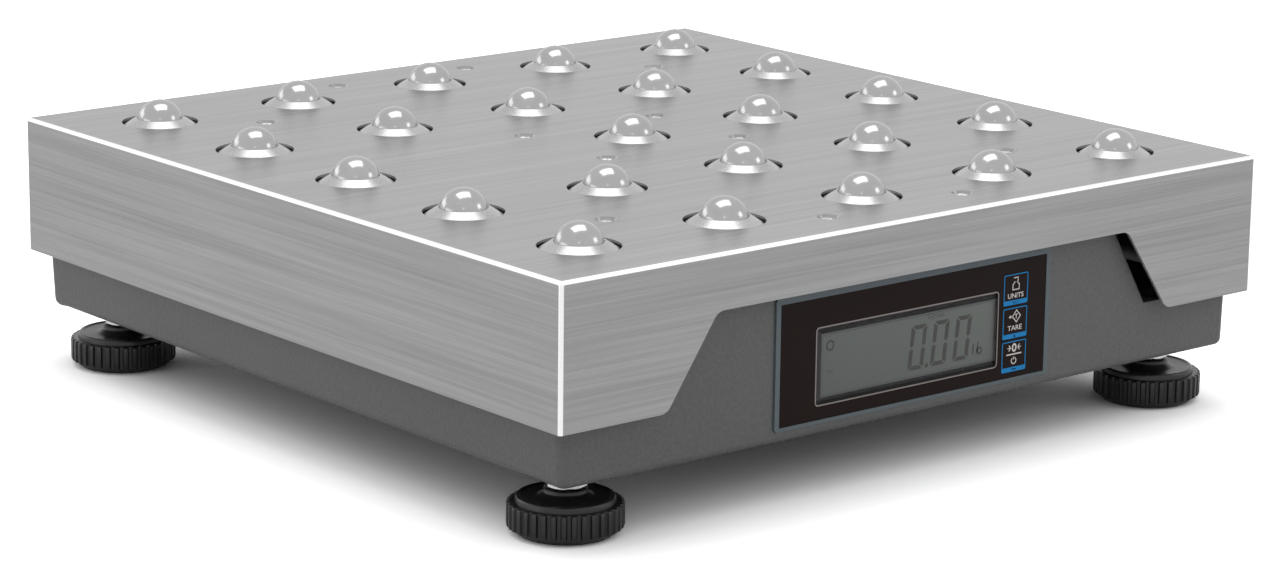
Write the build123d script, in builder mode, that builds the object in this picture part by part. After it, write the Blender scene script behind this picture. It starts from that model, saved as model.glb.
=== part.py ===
from build123d import *
import math
import os

os.makedirs("parts", exist_ok=True)

# Millimetres. X runs to the right, Y to the back and Z up. The origin is on the floor, under
# the middle of the scale, and the display is on the front, at -Y.

# Platter cover
platter_width = 355.6
platter_depth = 355.6
platter_top = 102.7
platter_sheet = 1.2
skirt_height = 55.7
fold_radius = 1.5
notch_foot_width = 258.0
notch_top_width = 211.0
notch_height = 34.3
notch_corner = 5.5

# Ball transfers
balls_across = 5
ball_pitch = 69.0
ball_diameter = 19.05
ball_rise = 9.2  # above the platter's top
bare_column = 1
bare_row = 2
collar_hole = 31.3
collar_gap = 0.85  # between the collar and the hole round it
collar_rise = 1.8
collar_lip = 0.5
ball_play = 0.12
seat_play = 0.05
cup_flange = 1.4
cup_diameter = 24.6
cup_depth = 10.4
cup_drain = 6.0
cup_hole_play = 0.2

# Ball carrier and the rivets that hold the cover to it
carrier_inset = 11.3
carrier_sheet = 3.0
carrier_corner = 8.0
dimple_depth = 1.5
dimple_floor_width = 7.2
dimple_width = 8.8
rivet_shank = 3.2
rivet_head = 5.4
rivet_head_height = 0.8
rivet_tail_height = 1.2
rivet_play = 0.1
rivet_columns = (0.5, 1.5, 0.5)  # in ball pitches from the middle
rivet_inner_row = 26.5
rivet_middle_row = 111.0
rivet_outer_inset = 20.3  # from the platter's front and back

# Base casting
casting_width = 342.6
casting_depth = 342.6
casting_bottom = 24.0
casting_rim = 48.7
casting_draft = 2.0
casting_wall = 4.0
casting_floor = 4.0
casting_corner = 4.0
casting_edge = 3.0
hood_depth = 30.0
hood_top_gap = 0.4  # below the notch's upper edge
hood_side_gap_top = 0.8
hood_side_gap_foot = 4.4
hood_wall = 3.5
hood_corner = 5.0
hood_edge = 1.0

# Levelling feet
foot_inset_x = 19.9  # from the casting's sides at its bottom
foot_inset_y = 23.2  # from its front and back
foot_boss_diameter = 26.0
foot_boss_height = 16.0
stud_diameter = 9.525
stud_play = 0.05
stud_top_gap = 2.0
stud_chamfer = 1.0
knob_diameter = 43.2
knob_rib_depth = 1.2
knob_ribs = 36
knob_rib_share = 0.55
knob_band_bottom = 2.5
knob_band_top = 12.0
knob_sole = 35.0
knob_disc = 36.6
knob_disc_top = 14.2
knob_disc_chamfer = 1.0
knob_hub = 16.0
knob_hub_top = 17.2
knob_hub_flare = 1.5
knob_hub_flare_height = 2.0
knob_socket_bottom = 4.0
nut_flats = 14.3
nut_gap = 0.3

# Load cell, its spacers and screws
cell_length = 130.0
cell_width = 34.0
cell_height = 25.0
cell_grip = 33.0  # length of the solid block at each end
cell_window = 14.0
cell_rib = 1.8
pedestal_height = 6.0
floor_rib_height = 2.0
cell_spacer = 4.0
screw_diameter = 6.0
screw_head = 10.0
screw_head_height = 6.0
screw_inset = 8.0
screw_pitch = 18.0
screw_bite = 14.0
screw_end_gap = 2.0
screw_play = 0.1
screw_head_play = 0.2

# Spider, its pads and the overload stops
spider_thickness = 11.0
spider_arm = 28.0
spider_wall = 4.0
spider_web = 4.0
spider_hub_length = 150.0
spider_hub_width = 58.0
pad_reach_x = 103.5
pad_reach_y = 80.0
pad_diameter = 20.0
pad_thickness = 3.0
pad_post_diameter = 22.0
stop_share = 0.86  # of the way out to the pads
stop_gap = 0.8
stop_boss_diameter = 16.0
stop_boss_height = 16.0
stop_diameter = 8.0
stop_nut_flats = 13.0
stop_nut_height = 5.0

# Display
bezel_width = 141.5
bezel_height = 50.8
bezel_center_x = -1.7
bezel_center_z = 54.1
bezel_proud = 0.8
bezel_rim_side = 2.35
bezel_rim_top = 2.6
bezel_rim_foot = 1.45
bezel_corner = 1.5
bezel_thickness = 2.0
bezel_play = 0.1
front_window_width = 124.0
front_window_height = 43.5
front_window_shift_z = -0.75  # from the bezel's middle
overlay_sheet = 0.5
overlay_recess = 0.2
overlay_play = 0.1
lens_width = 94.2
lens_height = 30.4
lens_shift_x = -3.7  # from the bezel's middle
lens_shift_z = -3.6
lens_flange = 1.6
lens_flange_thickness = 0.5
lcd_view_width = 89.6
lcd_view_height = 24.4
lcd_view_shift_x = -2.0  # from the bezel's middle
lcd_view_shift_z = -4.0
lcd_margin = 1.5
lcd_thickness = 6.8  # with its light box
holder_play = 0.3
holder_front_depth = 0.6
holder_bevel = 0.5
board_thickness = 1.6
board_screw_diameter = 2.5
board_screw_head = 5.6
board_screw_head_height = 2.2
board_screw_inset_x = 3.7
board_screw_inset_z = 7.0
board_margin = 2.0
board_boss_diameter = 6.4
display_cover_sheet = 1.2
display_cover_inset = 1.0
display_cover_foot = 8.0  # above the casting's floor

# Keys
key_width = 12.9
key_height = 12.2
key_pitch = 13.35
key_shift_x = 52.35  # from the bezel's middle
key_shift_z = -2.25
key_gap = 0.15
key_flange = 0.4
key_flange_thickness = 0.7
key_travel = 0.4
key_stem_width = 8.0
key_stem_height = 7.0
key_slack = 0.05
switch_size = 6.0
switch_height = 3.4

# Main board and the connectors on the back
main_board_width = 110.0
main_board_depth = 58.0
main_board_center_x = -70.0
standoff_height = 2.5
standoff_diameter = 7.0
main_board_screw_inset = 5.0
main_board_gap = 1.5  # to the casting's back wall
rear_plate_width = 78.0
rear_plate_height = 16.4
rear_plate_sheet = 1.5
rear_plate_center_z = 38.6
rear_window_width = 60.0
rear_window_height = 14.2
data_port_width = 16.0
data_port_height = 13.2
data_port_length = 18.0
data_socket_width = 11.8
data_socket_height = 8.4
data_socket_depth = 13.0
data_port_offset = 16.0
power_jack_width = 9.0
power_jack_height = 11.0
power_jack_length = 14.0
power_jack_bore = 6.4
power_jack_bore_depth = 10.0
power_jack_pin = 2.0
power_jack_offset = -16.0

# Bubble level
level_diameter = 18.0
level_height = 8.0
level_boss_height = 10.0
level_boss_margin = 1.0
level_inset_x = 39.3  # from the casting's right side
level_inset_y = 63.3  # from the casting's front
level_glass = 14.0
level_dish = 1.2

# Heights and planes that follow from the sizes above
casting_front = casting_depth / 2
foot_reach_x = casting_width / 2 - foot_inset_x
foot_reach_y = casting_depth / 2 - foot_inset_y
level_x = casting_width / 2 - level_inset_x
level_y = level_inset_y - casting_depth / 2
platter_under = platter_top - platter_sheet
dimple_floor = platter_top - dimple_depth
carrier_top = platter_under - dimple_depth
carrier_bottom = carrier_top - carrier_sheet
skirt_bottom = platter_top - skirt_height
floor_top = casting_bottom + casting_floor
ball_radius = ball_diameter / 2
ball_z = platter_top + ball_rise - ball_radius
collar_radius = collar_hole / 2 - collar_gap
collar_bottom = carrier_top + cup_flange
collar_top = platter_top + collar_rise
first_ball = -ball_pitch * (balls_across - 1) / 2
pedestal_top = floor_top + pedestal_height
cell_bottom = pedestal_top + cell_spacer
cell_top = cell_bottom + cell_height
spider_bottom = cell_top + cell_spacer
spider_top = spider_bottom + spider_thickness
pad_top = carrier_bottom
pad_bottom = pad_top - pad_thickness
hood_top = skirt_bottom + notch_height - hood_top_gap
front_window_z = bezel_center_z + front_window_shift_z
lens_center_x = bezel_center_x + lens_shift_x
lens_center_z = bezel_center_z + lens_shift_z
lcd_view_center_x = bezel_center_x + lcd_view_shift_x
lcd_view_center_z = bezel_center_z + lcd_view_shift_z
key_center_x = bezel_center_x + key_shift_x
key_middle_z = bezel_center_z + key_shift_z


def front(depth):
    """A plane facing the front, with X across and Z up, at this distance from the middle."""
    return Plane(origin=(0, -depth, 0), x_dir=(1, 0, 0), z_dir=(0, -1, 0))


def back(depth):
    """A plane facing the back, with Z up, at this distance from the middle."""
    return Plane(origin=(0, depth, 0), x_dir=(-1, 0, 0), z_dir=(0, 1, 0))


def row_places(row):
    """The middles of one row's ball transfers, with the bare place left out."""
    y = first_ball + row * ball_pitch
    columns = [c for c in range(balls_across) if (c, row) != (bare_column, bare_row)]
    return [(first_ball + c * ball_pitch, y) for c in columns]


def mirrored(x, y):
    """The four places at these distances from the middle."""
    return [(-x, -y), (x, -y), (-x, y), (x, y)]


ball_places = [place for row in range(balls_across) for place in row_places(row)]
rivet_rows = (rivet_inner_row, rivet_middle_row, platter_depth / 2 - rivet_outer_inset)
rivet_places = []
for column, y in zip(rivet_columns, rivet_rows):
    rivet_places += mirrored(column * ball_pitch, y)
foot_places = mirrored(foot_reach_x, foot_reach_y)
foot_names = ("front_left", "front_right", "rear_left", "rear_right")
pad_places = mirrored(pad_reach_x, pad_reach_y)
stop_places = mirrored(pad_reach_x * stop_share, pad_reach_y * stop_share)


def finish(piece, label):
    """Names a finished piece and writes it."""
    piece.part.label = label
    export_step(piece.part, f"parts/{label}.step")


# Platter cover: one folded sheet with a notch in front of the display, collar holes and dimples
with BuildPart() as platter_shroud:
    with BuildSketch(Plane.XY.offset(skirt_bottom)):
        Rectangle(platter_width, platter_depth)
    extrude(amount=skirt_height)
    folds = platter_shroud.edges().filter_by(Axis.Z) + platter_shroud.edges().group_by(Axis.Z)[-1]
    fillet(folds, radius=fold_radius)
    offset(amount=-platter_sheet, openings=platter_shroud.faces().sort_by(Axis.Z)[0])
    with BuildSketch(front(platter_depth / 2)):
        with BuildLine():
            Polyline(
                (-notch_foot_width / 2, skirt_bottom),
                (-notch_top_width / 2, skirt_bottom + notch_height),
                (notch_top_width / 2, skirt_bottom + notch_height),
                (notch_foot_width / 2, skirt_bottom),
                close=True,
            )
        make_face()
    extrude(amount=-2 * fold_radius, mode=Mode.SUBTRACT)
    notch_edges = platter_shroud.edges().filter_by(Axis.Y).filter_by_position(
        Axis.X, -notch_foot_width / 2 - notch_corner, notch_foot_width / 2 + notch_corner
    )
    fillet(notch_edges, radius=notch_corner)
    with Locations(Plane.XY.offset(platter_under)):
        with Locations(*rivet_places):
            Cone(
                bottom_radius=dimple_floor_width / 2 + platter_sheet,
                top_radius=dimple_width / 2 + platter_sheet,
                height=dimple_depth,
                align=(Align.CENTER, Align.CENTER, Align.MAX),
            )
    with Locations(Plane.XY.offset(platter_top)):
        with Locations(*rivet_places):
            Cone(
                bottom_radius=dimple_floor_width / 2,
                top_radius=dimple_width / 2,
                height=dimple_depth,
                align=(Align.CENTER, Align.CENTER, Align.MAX),
                mode=Mode.SUBTRACT,
            )
    with BuildSketch(Plane.XY.offset(platter_top)):
        with Locations(*ball_places):
            Circle(collar_hole / 2)
        with Locations(*rivet_places):
            Circle(rivet_shank / 2 + rivet_play)
    extrude(amount=-2 * (platter_sheet + dimple_depth), mode=Mode.SUBTRACT)
finish(platter_shroud, "platter_shroud")

# Plate that the ball cups hang in, under the cover
with BuildPart() as ball_carrier:
    with BuildSketch(Plane.XY.offset(carrier_bottom)):
        RectangleRounded(
            platter_width - 2 * (platter_sheet + carrier_inset),
            platter_depth - 2 * (platter_sheet + carrier_inset),
            carrier_corner,
        )
        with Locations(*ball_places):
            Circle(cup_diameter / 2 + cup_hole_play, mode=Mode.SUBTRACT)
        with Locations(*rivet_places):
            Circle(rivet_shank / 2 + rivet_play, mode=Mode.SUBTRACT)
    extrude(amount=carrier_sheet)
finish(ball_carrier, "ball_carrier")

# Rivets through the dimples and the carrier
with BuildPart() as platter_rivets:
    with BuildSketch(Plane.XY.offset(dimple_floor)):
        with Locations(*rivet_places):
            Circle(rivet_head / 2)
    extrude(amount=rivet_head_height)
    with BuildSketch(Plane.XY.offset(carrier_bottom - rivet_tail_height)):
        with Locations(*rivet_places):
            Circle(rivet_head / 2)
    extrude(amount=rivet_tail_height)
    with BuildSketch(Plane.XY.offset(carrier_bottom)):
        with Locations(*rivet_places):
            Circle(rivet_shank / 2)
    extrude(amount=dimple_floor - carrier_bottom)
finish(platter_rivets, "platter_rivets")

# Ball cups. A ball rests on the cup's cone, which drains through the bottom.
cup_bore = ball_radius + ball_play
cone_reach = (ball_radius + seat_play) * math.sqrt(2)  # of a 45 degree cone's tip below the ball
cup_bottom = carrier_top - cup_depth
with BuildPart() as one_cup:
    with BuildSketch(Plane.XZ):
        with BuildLine():
            Polyline(
                (cup_bore, collar_bottom),
                (collar_radius, collar_bottom),
                (collar_radius, carrier_top),
                (cup_diameter / 2, carrier_top),
                (cup_diameter / 2, cup_bottom),
                (cup_drain / 2, cup_bottom),
                (cup_drain / 2, ball_z - cone_reach + cup_drain / 2),
                (cup_bore, ball_z - cone_reach + cup_bore),
                close=True,
            )
        make_face()
    revolve(axis=Axis.Z)
with BuildPart() as ball_cups:
    with Locations(*ball_places):
        add(one_cup.part)
finish(ball_cups, "ball_cups")

# Conical collars, whose lips keep the balls in
lip_radius = math.sqrt(ball_radius**2 - (collar_top - ball_z) ** 2) + ball_play
with BuildPart() as one_collar:
    with BuildSketch(Plane.XZ):
        with BuildLine():
            Polyline(
                (cup_bore, collar_bottom),
                (collar_radius, collar_bottom),
                (lip_radius + collar_lip, collar_top),
                (lip_radius, collar_top),
                (cup_bore, collar_top - collar_lip * 2),
                close=True,
            )
        make_face()
    revolve(axis=Axis.Z)
with BuildPart() as ball_collars:
    with Locations(*ball_places):
        add(one_collar.part)
finish(ball_collars, "ball_collars")

# Steel balls, row by row from the front
for row in range(balls_across):
    with BuildPart() as ball_row:
        with Locations(*[(x, y, ball_z) for x, y in row_places(row)]):
            Sphere(ball_radius)
    finish(ball_row, f"ball_row_{row + 1}")


def hood_outline(inset, foot):
    """The hood's outline seen from the front, from this height up, with its sides and top inset."""
    foot_half = notch_foot_width / 2 - hood_side_gap_foot
    top_half = notch_top_width / 2 - hood_side_gap_top
    lean = (foot_half - top_half) / notch_height
    top = hood_top - inset
    side = foot_half - inset * math.sqrt(1 + lean**2)
    return [
        (-side + lean * (foot - skirt_bottom), foot),
        (-side + lean * (top - skirt_bottom), top),
        (side - lean * (top - skirt_bottom), top),
        (side - lean * (foot - skirt_bottom), foot),
    ]


# Base casting: an open tray with a hood over the display, bosses, a pedestal and ribs
cell_start = -cell_length / 2
base_screw_xs = (cell_start + screw_inset, cell_start + screw_inset + screw_pitch)
top_screw_xs = tuple(-x for x in base_screw_xs)
hood_back = casting_front - hood_depth
holder_front = casting_front + bezel_proud - overlay_recess - overlay_sheet - lens_flange_thickness
board_front = holder_front - holder_front_depth - lcd_thickness
board_width = bezel_width
board_height = front_window_height + 2 * board_margin
board_screw_places = [
    (bezel_center_x + x, front_window_z + z)
    for x, z in mirrored(
        board_width / 2 - board_screw_inset_x, board_height / 2 - board_screw_inset_z
    )
]
main_board_center_y = casting_depth / 2 - casting_wall - main_board_gap - main_board_depth / 2
standoff_places = [
    (main_board_center_x + x, main_board_center_y + y)
    for x, y in mirrored(
        main_board_width / 2 - main_board_screw_inset,
        main_board_depth / 2 - main_board_screw_inset,
    )
]
rear_plate_screw_xs = (
    main_board_center_x - (rear_plate_width + rear_window_width) / 4,
    main_board_center_x + (rear_plate_width + rear_window_width) / 4,
)
with BuildPart() as base_casting:
    with BuildSketch(Plane.XY.offset(casting_bottom)):
        Rectangle(casting_width, casting_depth)
    extrude(amount=hood_top - casting_bottom, taper=-casting_draft)
    with BuildSketch(front(casting_front)):
        with Locations((0, casting_bottom)):
            Rectangle(2 * casting_width, 2 * hood_top)
    extrude(amount=hood_depth, mode=Mode.SUBTRACT)
    with BuildSketch(front(casting_front)):
        with Locations((0, casting_rim)):
            Rectangle(2 * casting_width, 2 * hood_top, align=(Align.CENTER, Align.MIN))
        with BuildLine():
            Polyline(*hood_outline(0, casting_rim), close=True)
        make_face(mode=Mode.SUBTRACT)
    extrude(amount=-2 * casting_depth, mode=Mode.SUBTRACT)
    with BuildSketch(front(hood_back)):
        with Locations((0, casting_rim)):
            Rectangle(2 * casting_width, 2 * hood_top, align=(Align.CENTER, Align.MIN))
    extrude(amount=-2 * casting_depth, mode=Mode.SUBTRACT)
    corners = base_casting.edges().filter_by(
        lambda e: abs(e.center().X) > 0.48 * casting_width
        and abs(e.center().Y) > 0.48 * casting_depth
        and abs(e.tangent_at(0.5).Z) > 0.9
    )
    fillet(corners, radius=casting_corner)
    hood_edges = base_casting.edges().filter_by(Axis.Y).group_by(Axis.Z)[-1]
    fillet(hood_edges, radius=hood_corner)
    hood_rim = base_casting.edges().filter_by(
        lambda e: abs(e.center().Y + casting_front) < 0.01 and e.center().Z > casting_rim + hood_edge
    )
    fillet(hood_rim, radius=hood_edge)
    fillet(base_casting.faces().sort_by(Axis.Z)[0].edges(), radius=casting_edge)
    # hollow of the tray and of the hood
    with BuildSketch(Plane.XY.offset(floor_top)):
        RectangleRounded(
            casting_width - 2 * casting_wall, casting_depth - 2 * casting_wall, casting_corner
        )
    extrude(amount=casting_rim - floor_top, mode=Mode.SUBTRACT)
    with BuildSketch(front(casting_front - casting_wall)):
        with BuildLine():
            Polyline(*hood_outline(hood_wall, floor_top), close=True)
        make_face()
    extrude(amount=-hood_depth, mode=Mode.SUBTRACT)
    # stiffening ribs on the floor, corner to corner, and the bosses
    rib_run = 2 * math.hypot(foot_reach_x, foot_reach_y)
    rib_turn = math.degrees(math.atan2(foot_reach_y, foot_reach_x))
    with BuildSketch(Plane.XY.offset(floor_top)):
        for turn in (rib_turn, -rib_turn):
            Rectangle(rib_run, casting_wall, rotation=turn)
    extrude(amount=floor_rib_height)
    with BuildSketch(Plane.XY.offset(floor_top)):
        with Locations((cell_start + cell_grip / 2, 0)):
            RectangleRounded(cell_grip + casting_wall, cell_width + casting_wall, casting_corner)
    extrude(amount=pedestal_height)
    with BuildSketch(Plane.XY.offset(floor_top)):
        with Locations(*foot_places):
            Circle(foot_boss_diameter / 2)
    extrude(amount=foot_boss_height)
    with BuildSketch(Plane.XY.offset(floor_top)):
        with Locations(*stop_places):
            Circle(stop_boss_diameter / 2)
    extrude(amount=stop_boss_height)
    with BuildSketch(Plane.XY.offset(floor_top)):
        with Locations(*standoff_places):
            Circle(standoff_diameter / 2)
    extrude(amount=standoff_height)
    with BuildSketch(Plane.XY.offset(floor_top)):
        with Locations((level_x, level_y)):
            Circle(level_diameter / 2 + level_boss_margin)
    extrude(amount=level_boss_height)
    with BuildSketch(front(casting_front - casting_wall)):
        with Locations(*board_screw_places):
            Circle(board_boss_diameter / 2)
    extrude(amount=board_front - (casting_front - casting_wall))
    # bores of the feet, the stops, the load cell's screws and the boards' screws
    with BuildSketch(Plane.XY.offset(casting_bottom)):
        with Locations(*foot_places):
            Circle(stud_diameter / 2 + stud_play)
    extrude(amount=casting_floor + foot_boss_height, mode=Mode.SUBTRACT)
    with BuildSketch(Plane.XY.offset(floor_top)):
        with Locations(*stop_places):
            Circle(stop_diameter / 2 + screw_play)
    extrude(amount=stop_boss_height, mode=Mode.SUBTRACT)
    with BuildSketch(Plane.XY.offset(casting_bottom)):
        with Locations(*[(x, 0) for x in base_screw_xs]):
            Circle(screw_diameter / 2 + screw_play)
    extrude(amount=casting_floor + pedestal_height, mode=Mode.SUBTRACT)
    with BuildSketch(Plane.XY.offset(casting_bottom)):
        with Locations(*[(x, 0) for x in base_screw_xs]):
            Circle(screw_head / 2 + screw_head_play)
    extrude(amount=screw_head_height, mode=Mode.SUBTRACT)
    with BuildSketch(Plane.XY.offset(floor_top + standoff_height)):
        with Locations(*standoff_places):
            Circle(board_screw_diameter / 2 + screw_play)
    extrude(amount=-standoff_height, mode=Mode.SUBTRACT)
    with BuildSketch(front(board_front)):
        with Locations(*board_screw_places):
            Circle(board_screw_diameter / 2 + screw_play)
    extrude(amount=casting_front - casting_wall - board_front, mode=Mode.SUBTRACT)
    # window and rebate of the display, window and rebate of the connector plate
    with BuildSketch(front(casting_front)):
        with Locations((bezel_center_x, bezel_center_z)):
            RectangleRounded(bezel_width + 2 * bezel_play, bezel_height + 2 * bezel_play, bezel_corner)
    extrude(amount=bezel_proud - bezel_thickness, mode=Mode.SUBTRACT)
    with BuildSketch(front(casting_front)):
        with Locations((bezel_center_x, front_window_z)):
            RectangleRounded(front_window_width, front_window_height, bezel_corner)
    extrude(amount=-casting_wall, mode=Mode.SUBTRACT)
    with BuildSketch(back(casting_depth / 2)):
        with Locations((-main_board_center_x, rear_plate_center_z)):
            Rectangle(rear_plate_width + 2 * bezel_play, rear_plate_height + 2 * bezel_play)
    extrude(amount=casting_wall, mode=Mode.SUBTRACT)
    with BuildSketch(back(casting_depth / 2)):
        with Locations((-main_board_center_x, rear_plate_center_z)):
            Rectangle(rear_window_width, rear_window_height)
        with Locations(*[(-x, rear_plate_center_z) for x in rear_plate_screw_xs]):
            Circle(board_screw_diameter / 2 + screw_play)
    extrude(amount=-casting_wall, mode=Mode.SUBTRACT)
finish(base_casting, "base_casting")

# Levelling feet: a knob with ribs round its rim turns with a stud that screws into the casting
knob_root = knob_diameter / 2 - knob_rib_depth
nut_top = casting_bottom
nut_bottom = knob_hub_top + nut_gap
stud_top = floor_top + foot_boss_height - stud_top_gap
rib_width = math.pi * knob_diameter / knob_ribs * knob_rib_share
with BuildPart() as one_knob:
    with BuildSketch(Plane.XZ):
        with BuildLine():
            Polyline(
                (0, 0),
                (knob_sole / 2, 0),
                (knob_root, knob_band_bottom),
                (knob_root, knob_band_top),
                (knob_disc / 2, knob_band_top),
                (knob_disc / 2, knob_disc_top - knob_disc_chamfer),
                (knob_disc / 2 - knob_disc_chamfer, knob_disc_top),
                (knob_hub / 2 + knob_hub_flare, knob_disc_top),
                (knob_hub / 2, knob_disc_top + knob_hub_flare_height),
                (knob_hub / 2, knob_hub_top),
                (0, knob_hub_top),
                close=True,
            )
        make_face()
    revolve(axis=Axis.Z)
    with BuildSketch(Plane.XY.offset(knob_band_bottom)):
        with PolarLocations(knob_root, knob_ribs):
            Rectangle(2 * knob_rib_depth, rib_width)
    extrude(amount=knob_band_top - knob_band_bottom)
    with BuildSketch(Plane.XY.offset(knob_socket_bottom)):
        Circle(stud_diameter / 2 + stud_play)
    extrude(amount=knob_hub_top - knob_socket_bottom, mode=Mode.SUBTRACT)
with BuildPart() as one_stud:
    with BuildSketch(Plane.XY.offset(knob_socket_bottom + stud_play)):
        Circle(stud_diameter / 2)
    extrude(amount=stud_top - knob_socket_bottom - stud_play)
    chamfer(one_stud.faces().sort_by(Axis.Z)[-1].edges(), length=stud_chamfer)
for (x, y), name in zip(foot_places, foot_names):
    with BuildPart() as foot_knob:
        with Locations((x, y)):
            add(one_knob.part)
    finish(foot_knob, f"foot_knob_{name}")
    with BuildPart() as foot_stud:
        with Locations((x, y)):
            add(one_stud.part)
    finish(foot_stud, f"foot_stud_{name}")

with BuildPart() as jam_nuts:
    with BuildSketch(Plane.XY.offset(nut_bottom)):
        with Locations(*foot_places):
            RegularPolygon(nut_flats / 2, 6, major_radius=False)
            Circle(stud_diameter / 2 + stud_play, mode=Mode.SUBTRACT)
    extrude(amount=nut_top - nut_bottom)
finish(jam_nuts, "jam_nuts")

# Load cell: a bending beam, thinned over two joined round holes
with BuildPart() as load_cell:
    with BuildSketch(front(cell_width / 2)):
        with Locations((0, cell_bottom + cell_height / 2)):
            Rectangle(cell_length, cell_height)
            flexure = cell_height - 2 * cell_rib
            hole_reach = cell_length / 2 - cell_grip - flexure / 2
            with Locations((-hole_reach, 0), (hole_reach, 0)):
                Circle(flexure / 2, mode=Mode.SUBTRACT)
            Rectangle(2 * hole_reach, cell_window, mode=Mode.SUBTRACT)
    extrude(amount=-cell_width)
    with BuildSketch(Plane.XY.offset(cell_bottom)):
        with Locations(*[(x, 0) for x in base_screw_xs]):
            Circle(screw_diameter / 2 + screw_play)
    extrude(amount=screw_bite, mode=Mode.SUBTRACT)
    with BuildSketch(Plane.XY.offset(cell_top)):
        with Locations(*[(x, 0) for x in top_screw_xs]):
            Circle(screw_diameter / 2 + screw_play)
    extrude(amount=-screw_bite, mode=Mode.SUBTRACT)
finish(load_cell, "load_cell")

for side, height, screw_xs, label in (
    (-1, pedestal_top, base_screw_xs, "cell_base_spacer"),
    (1, cell_top, top_screw_xs, "cell_top_spacer"),
):
    with BuildPart() as spacer:
        with BuildSketch(Plane.XY.offset(height)):
            with Locations((side * (cell_length - cell_grip) / 2, 0)):
                Rectangle(cell_grip, cell_width)
            with Locations(*[(x, 0) for x in screw_xs]):
                Circle(screw_diameter / 2 + screw_play, mode=Mode.SUBTRACT)
        extrude(amount=cell_spacer)
    finish(spacer, label)

with BuildPart() as cell_base_screws:
    with BuildSketch(Plane.XY.offset(casting_bottom)):
        with Locations(*[(x, 0) for x in base_screw_xs]):
            Circle(screw_head / 2)
    extrude(amount=screw_head_height)
    with BuildSketch(Plane.XY.offset(casting_bottom + screw_head_height)):
        with Locations(*[(x, 0) for x in base_screw_xs]):
            Circle(screw_diameter / 2)
    extrude(amount=cell_bottom + screw_bite - screw_end_gap - casting_bottom - screw_head_height)
    with BuildSketch(Plane.XY.offset(casting_bottom)):
        with Locations(*[(x, 0) for x in base_screw_xs]):
            RegularPolygon(screw_head / 4, 6, major_radius=False)
    extrude(amount=screw_head_height / 2, mode=Mode.SUBTRACT)
finish(cell_base_screws, "cell_base_screws")

# Spider: a ribbed casting in the shape of an X, bolted on the load cell's free end
spider_turn = math.degrees(math.atan2(pad_reach_y, pad_reach_x))
spider_run = 2 * math.hypot(pad_reach_x, pad_reach_y)
with BuildPart() as spider:
    with BuildSketch(Plane.XY.offset(spider_bottom)):
        RectangleRounded(spider_hub_length, spider_hub_width, casting_corner)
        for turn in (spider_turn, -spider_turn):
            SlotCenterToCenter(spider_run, spider_arm, rotation=turn)
    extrude(amount=spider_thickness)
    with BuildSketch(Plane.XY.offset(spider_bottom)):
        for turn in (spider_turn, -spider_turn):
            SlotCenterToCenter(spider_run, spider_arm - 2 * spider_wall, rotation=turn)
        Rectangle(
            spider_hub_length + spider_wall, spider_hub_width + spider_wall, mode=Mode.SUBTRACT
        )
        with Locations(*stop_places):
            Circle(stop_boss_diameter / 2, mode=Mode.SUBTRACT)
    extrude(amount=spider_thickness - spider_web, mode=Mode.SUBTRACT)
    with BuildSketch(Plane.XY.offset(spider_bottom)):
        with Locations(*pad_places):
            Circle(pad_post_diameter / 2)
    extrude(amount=pad_bottom - spider_bottom)
    with BuildSketch(Plane.XY.offset(spider_bottom)):
        with Locations(*[(x, 0) for x in top_screw_xs]):
            Circle(screw_diameter / 2 + screw_play)
    extrude(amount=spider_thickness, mode=Mode.SUBTRACT)
    with BuildSketch(Plane.XY.offset(spider_top)):
        with Locations(*[(x, 0) for x in top_screw_xs]):
            Circle(screw_head / 2 + screw_head_play)
    extrude(amount=-screw_head_height, mode=Mode.SUBTRACT)
finish(spider, "spider")

with BuildPart() as cell_top_screws:
    with BuildSketch(Plane.XY.offset(spider_top)):
        with Locations(*[(x, 0) for x in top_screw_xs]):
            Circle(screw_head / 2)
    extrude(amount=-screw_head_height)
    with BuildSketch(Plane.XY.offset(spider_top - screw_head_height)):
        with Locations(*[(x, 0) for x in top_screw_xs]):
            Circle(screw_diameter / 2)
    extrude(amount=-(spider_top - screw_head_height - cell_top + screw_bite - screw_end_gap))
    with BuildSketch(Plane.XY.offset(spider_top)):
        with Locations(*[(x, 0) for x in top_screw_xs]):
            RegularPolygon(screw_head / 4, 6, major_radius=False)
    extrude(amount=-screw_head_height / 2, mode=Mode.SUBTRACT)
finish(cell_top_screws, "cell_top_screws")

with BuildPart() as spider_pads:
    with BuildSketch(Plane.XY.offset(pad_bottom)):
        with Locations(*pad_places):
            Circle(pad_diameter / 2)
    extrude(amount=pad_thickness)
finish(spider_pads, "spider_pads")

# Overload stops: screws under the spider's arms, with lock nuts
stop_boss_top = floor_top + stop_boss_height
with BuildPart() as overload_stops:
    with BuildSketch(Plane.XY.offset(floor_top)):
        with Locations(*stop_places):
            Circle(stop_diameter / 2)
    extrude(amount=spider_bottom - stop_gap - floor_top)
finish(overload_stops, "overload_stops")

with BuildPart() as stop_nuts:
    with BuildSketch(Plane.XY.offset(stop_boss_top)):
        with Locations(*stop_places):
            RegularPolygon(stop_nut_flats / 2, 6, major_radius=False)
            Circle(stop_diameter / 2 + screw_play, mode=Mode.SUBTRACT)
    extrude(amount=stop_nut_height)
finish(stop_nuts, "stop_nuts")

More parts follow.
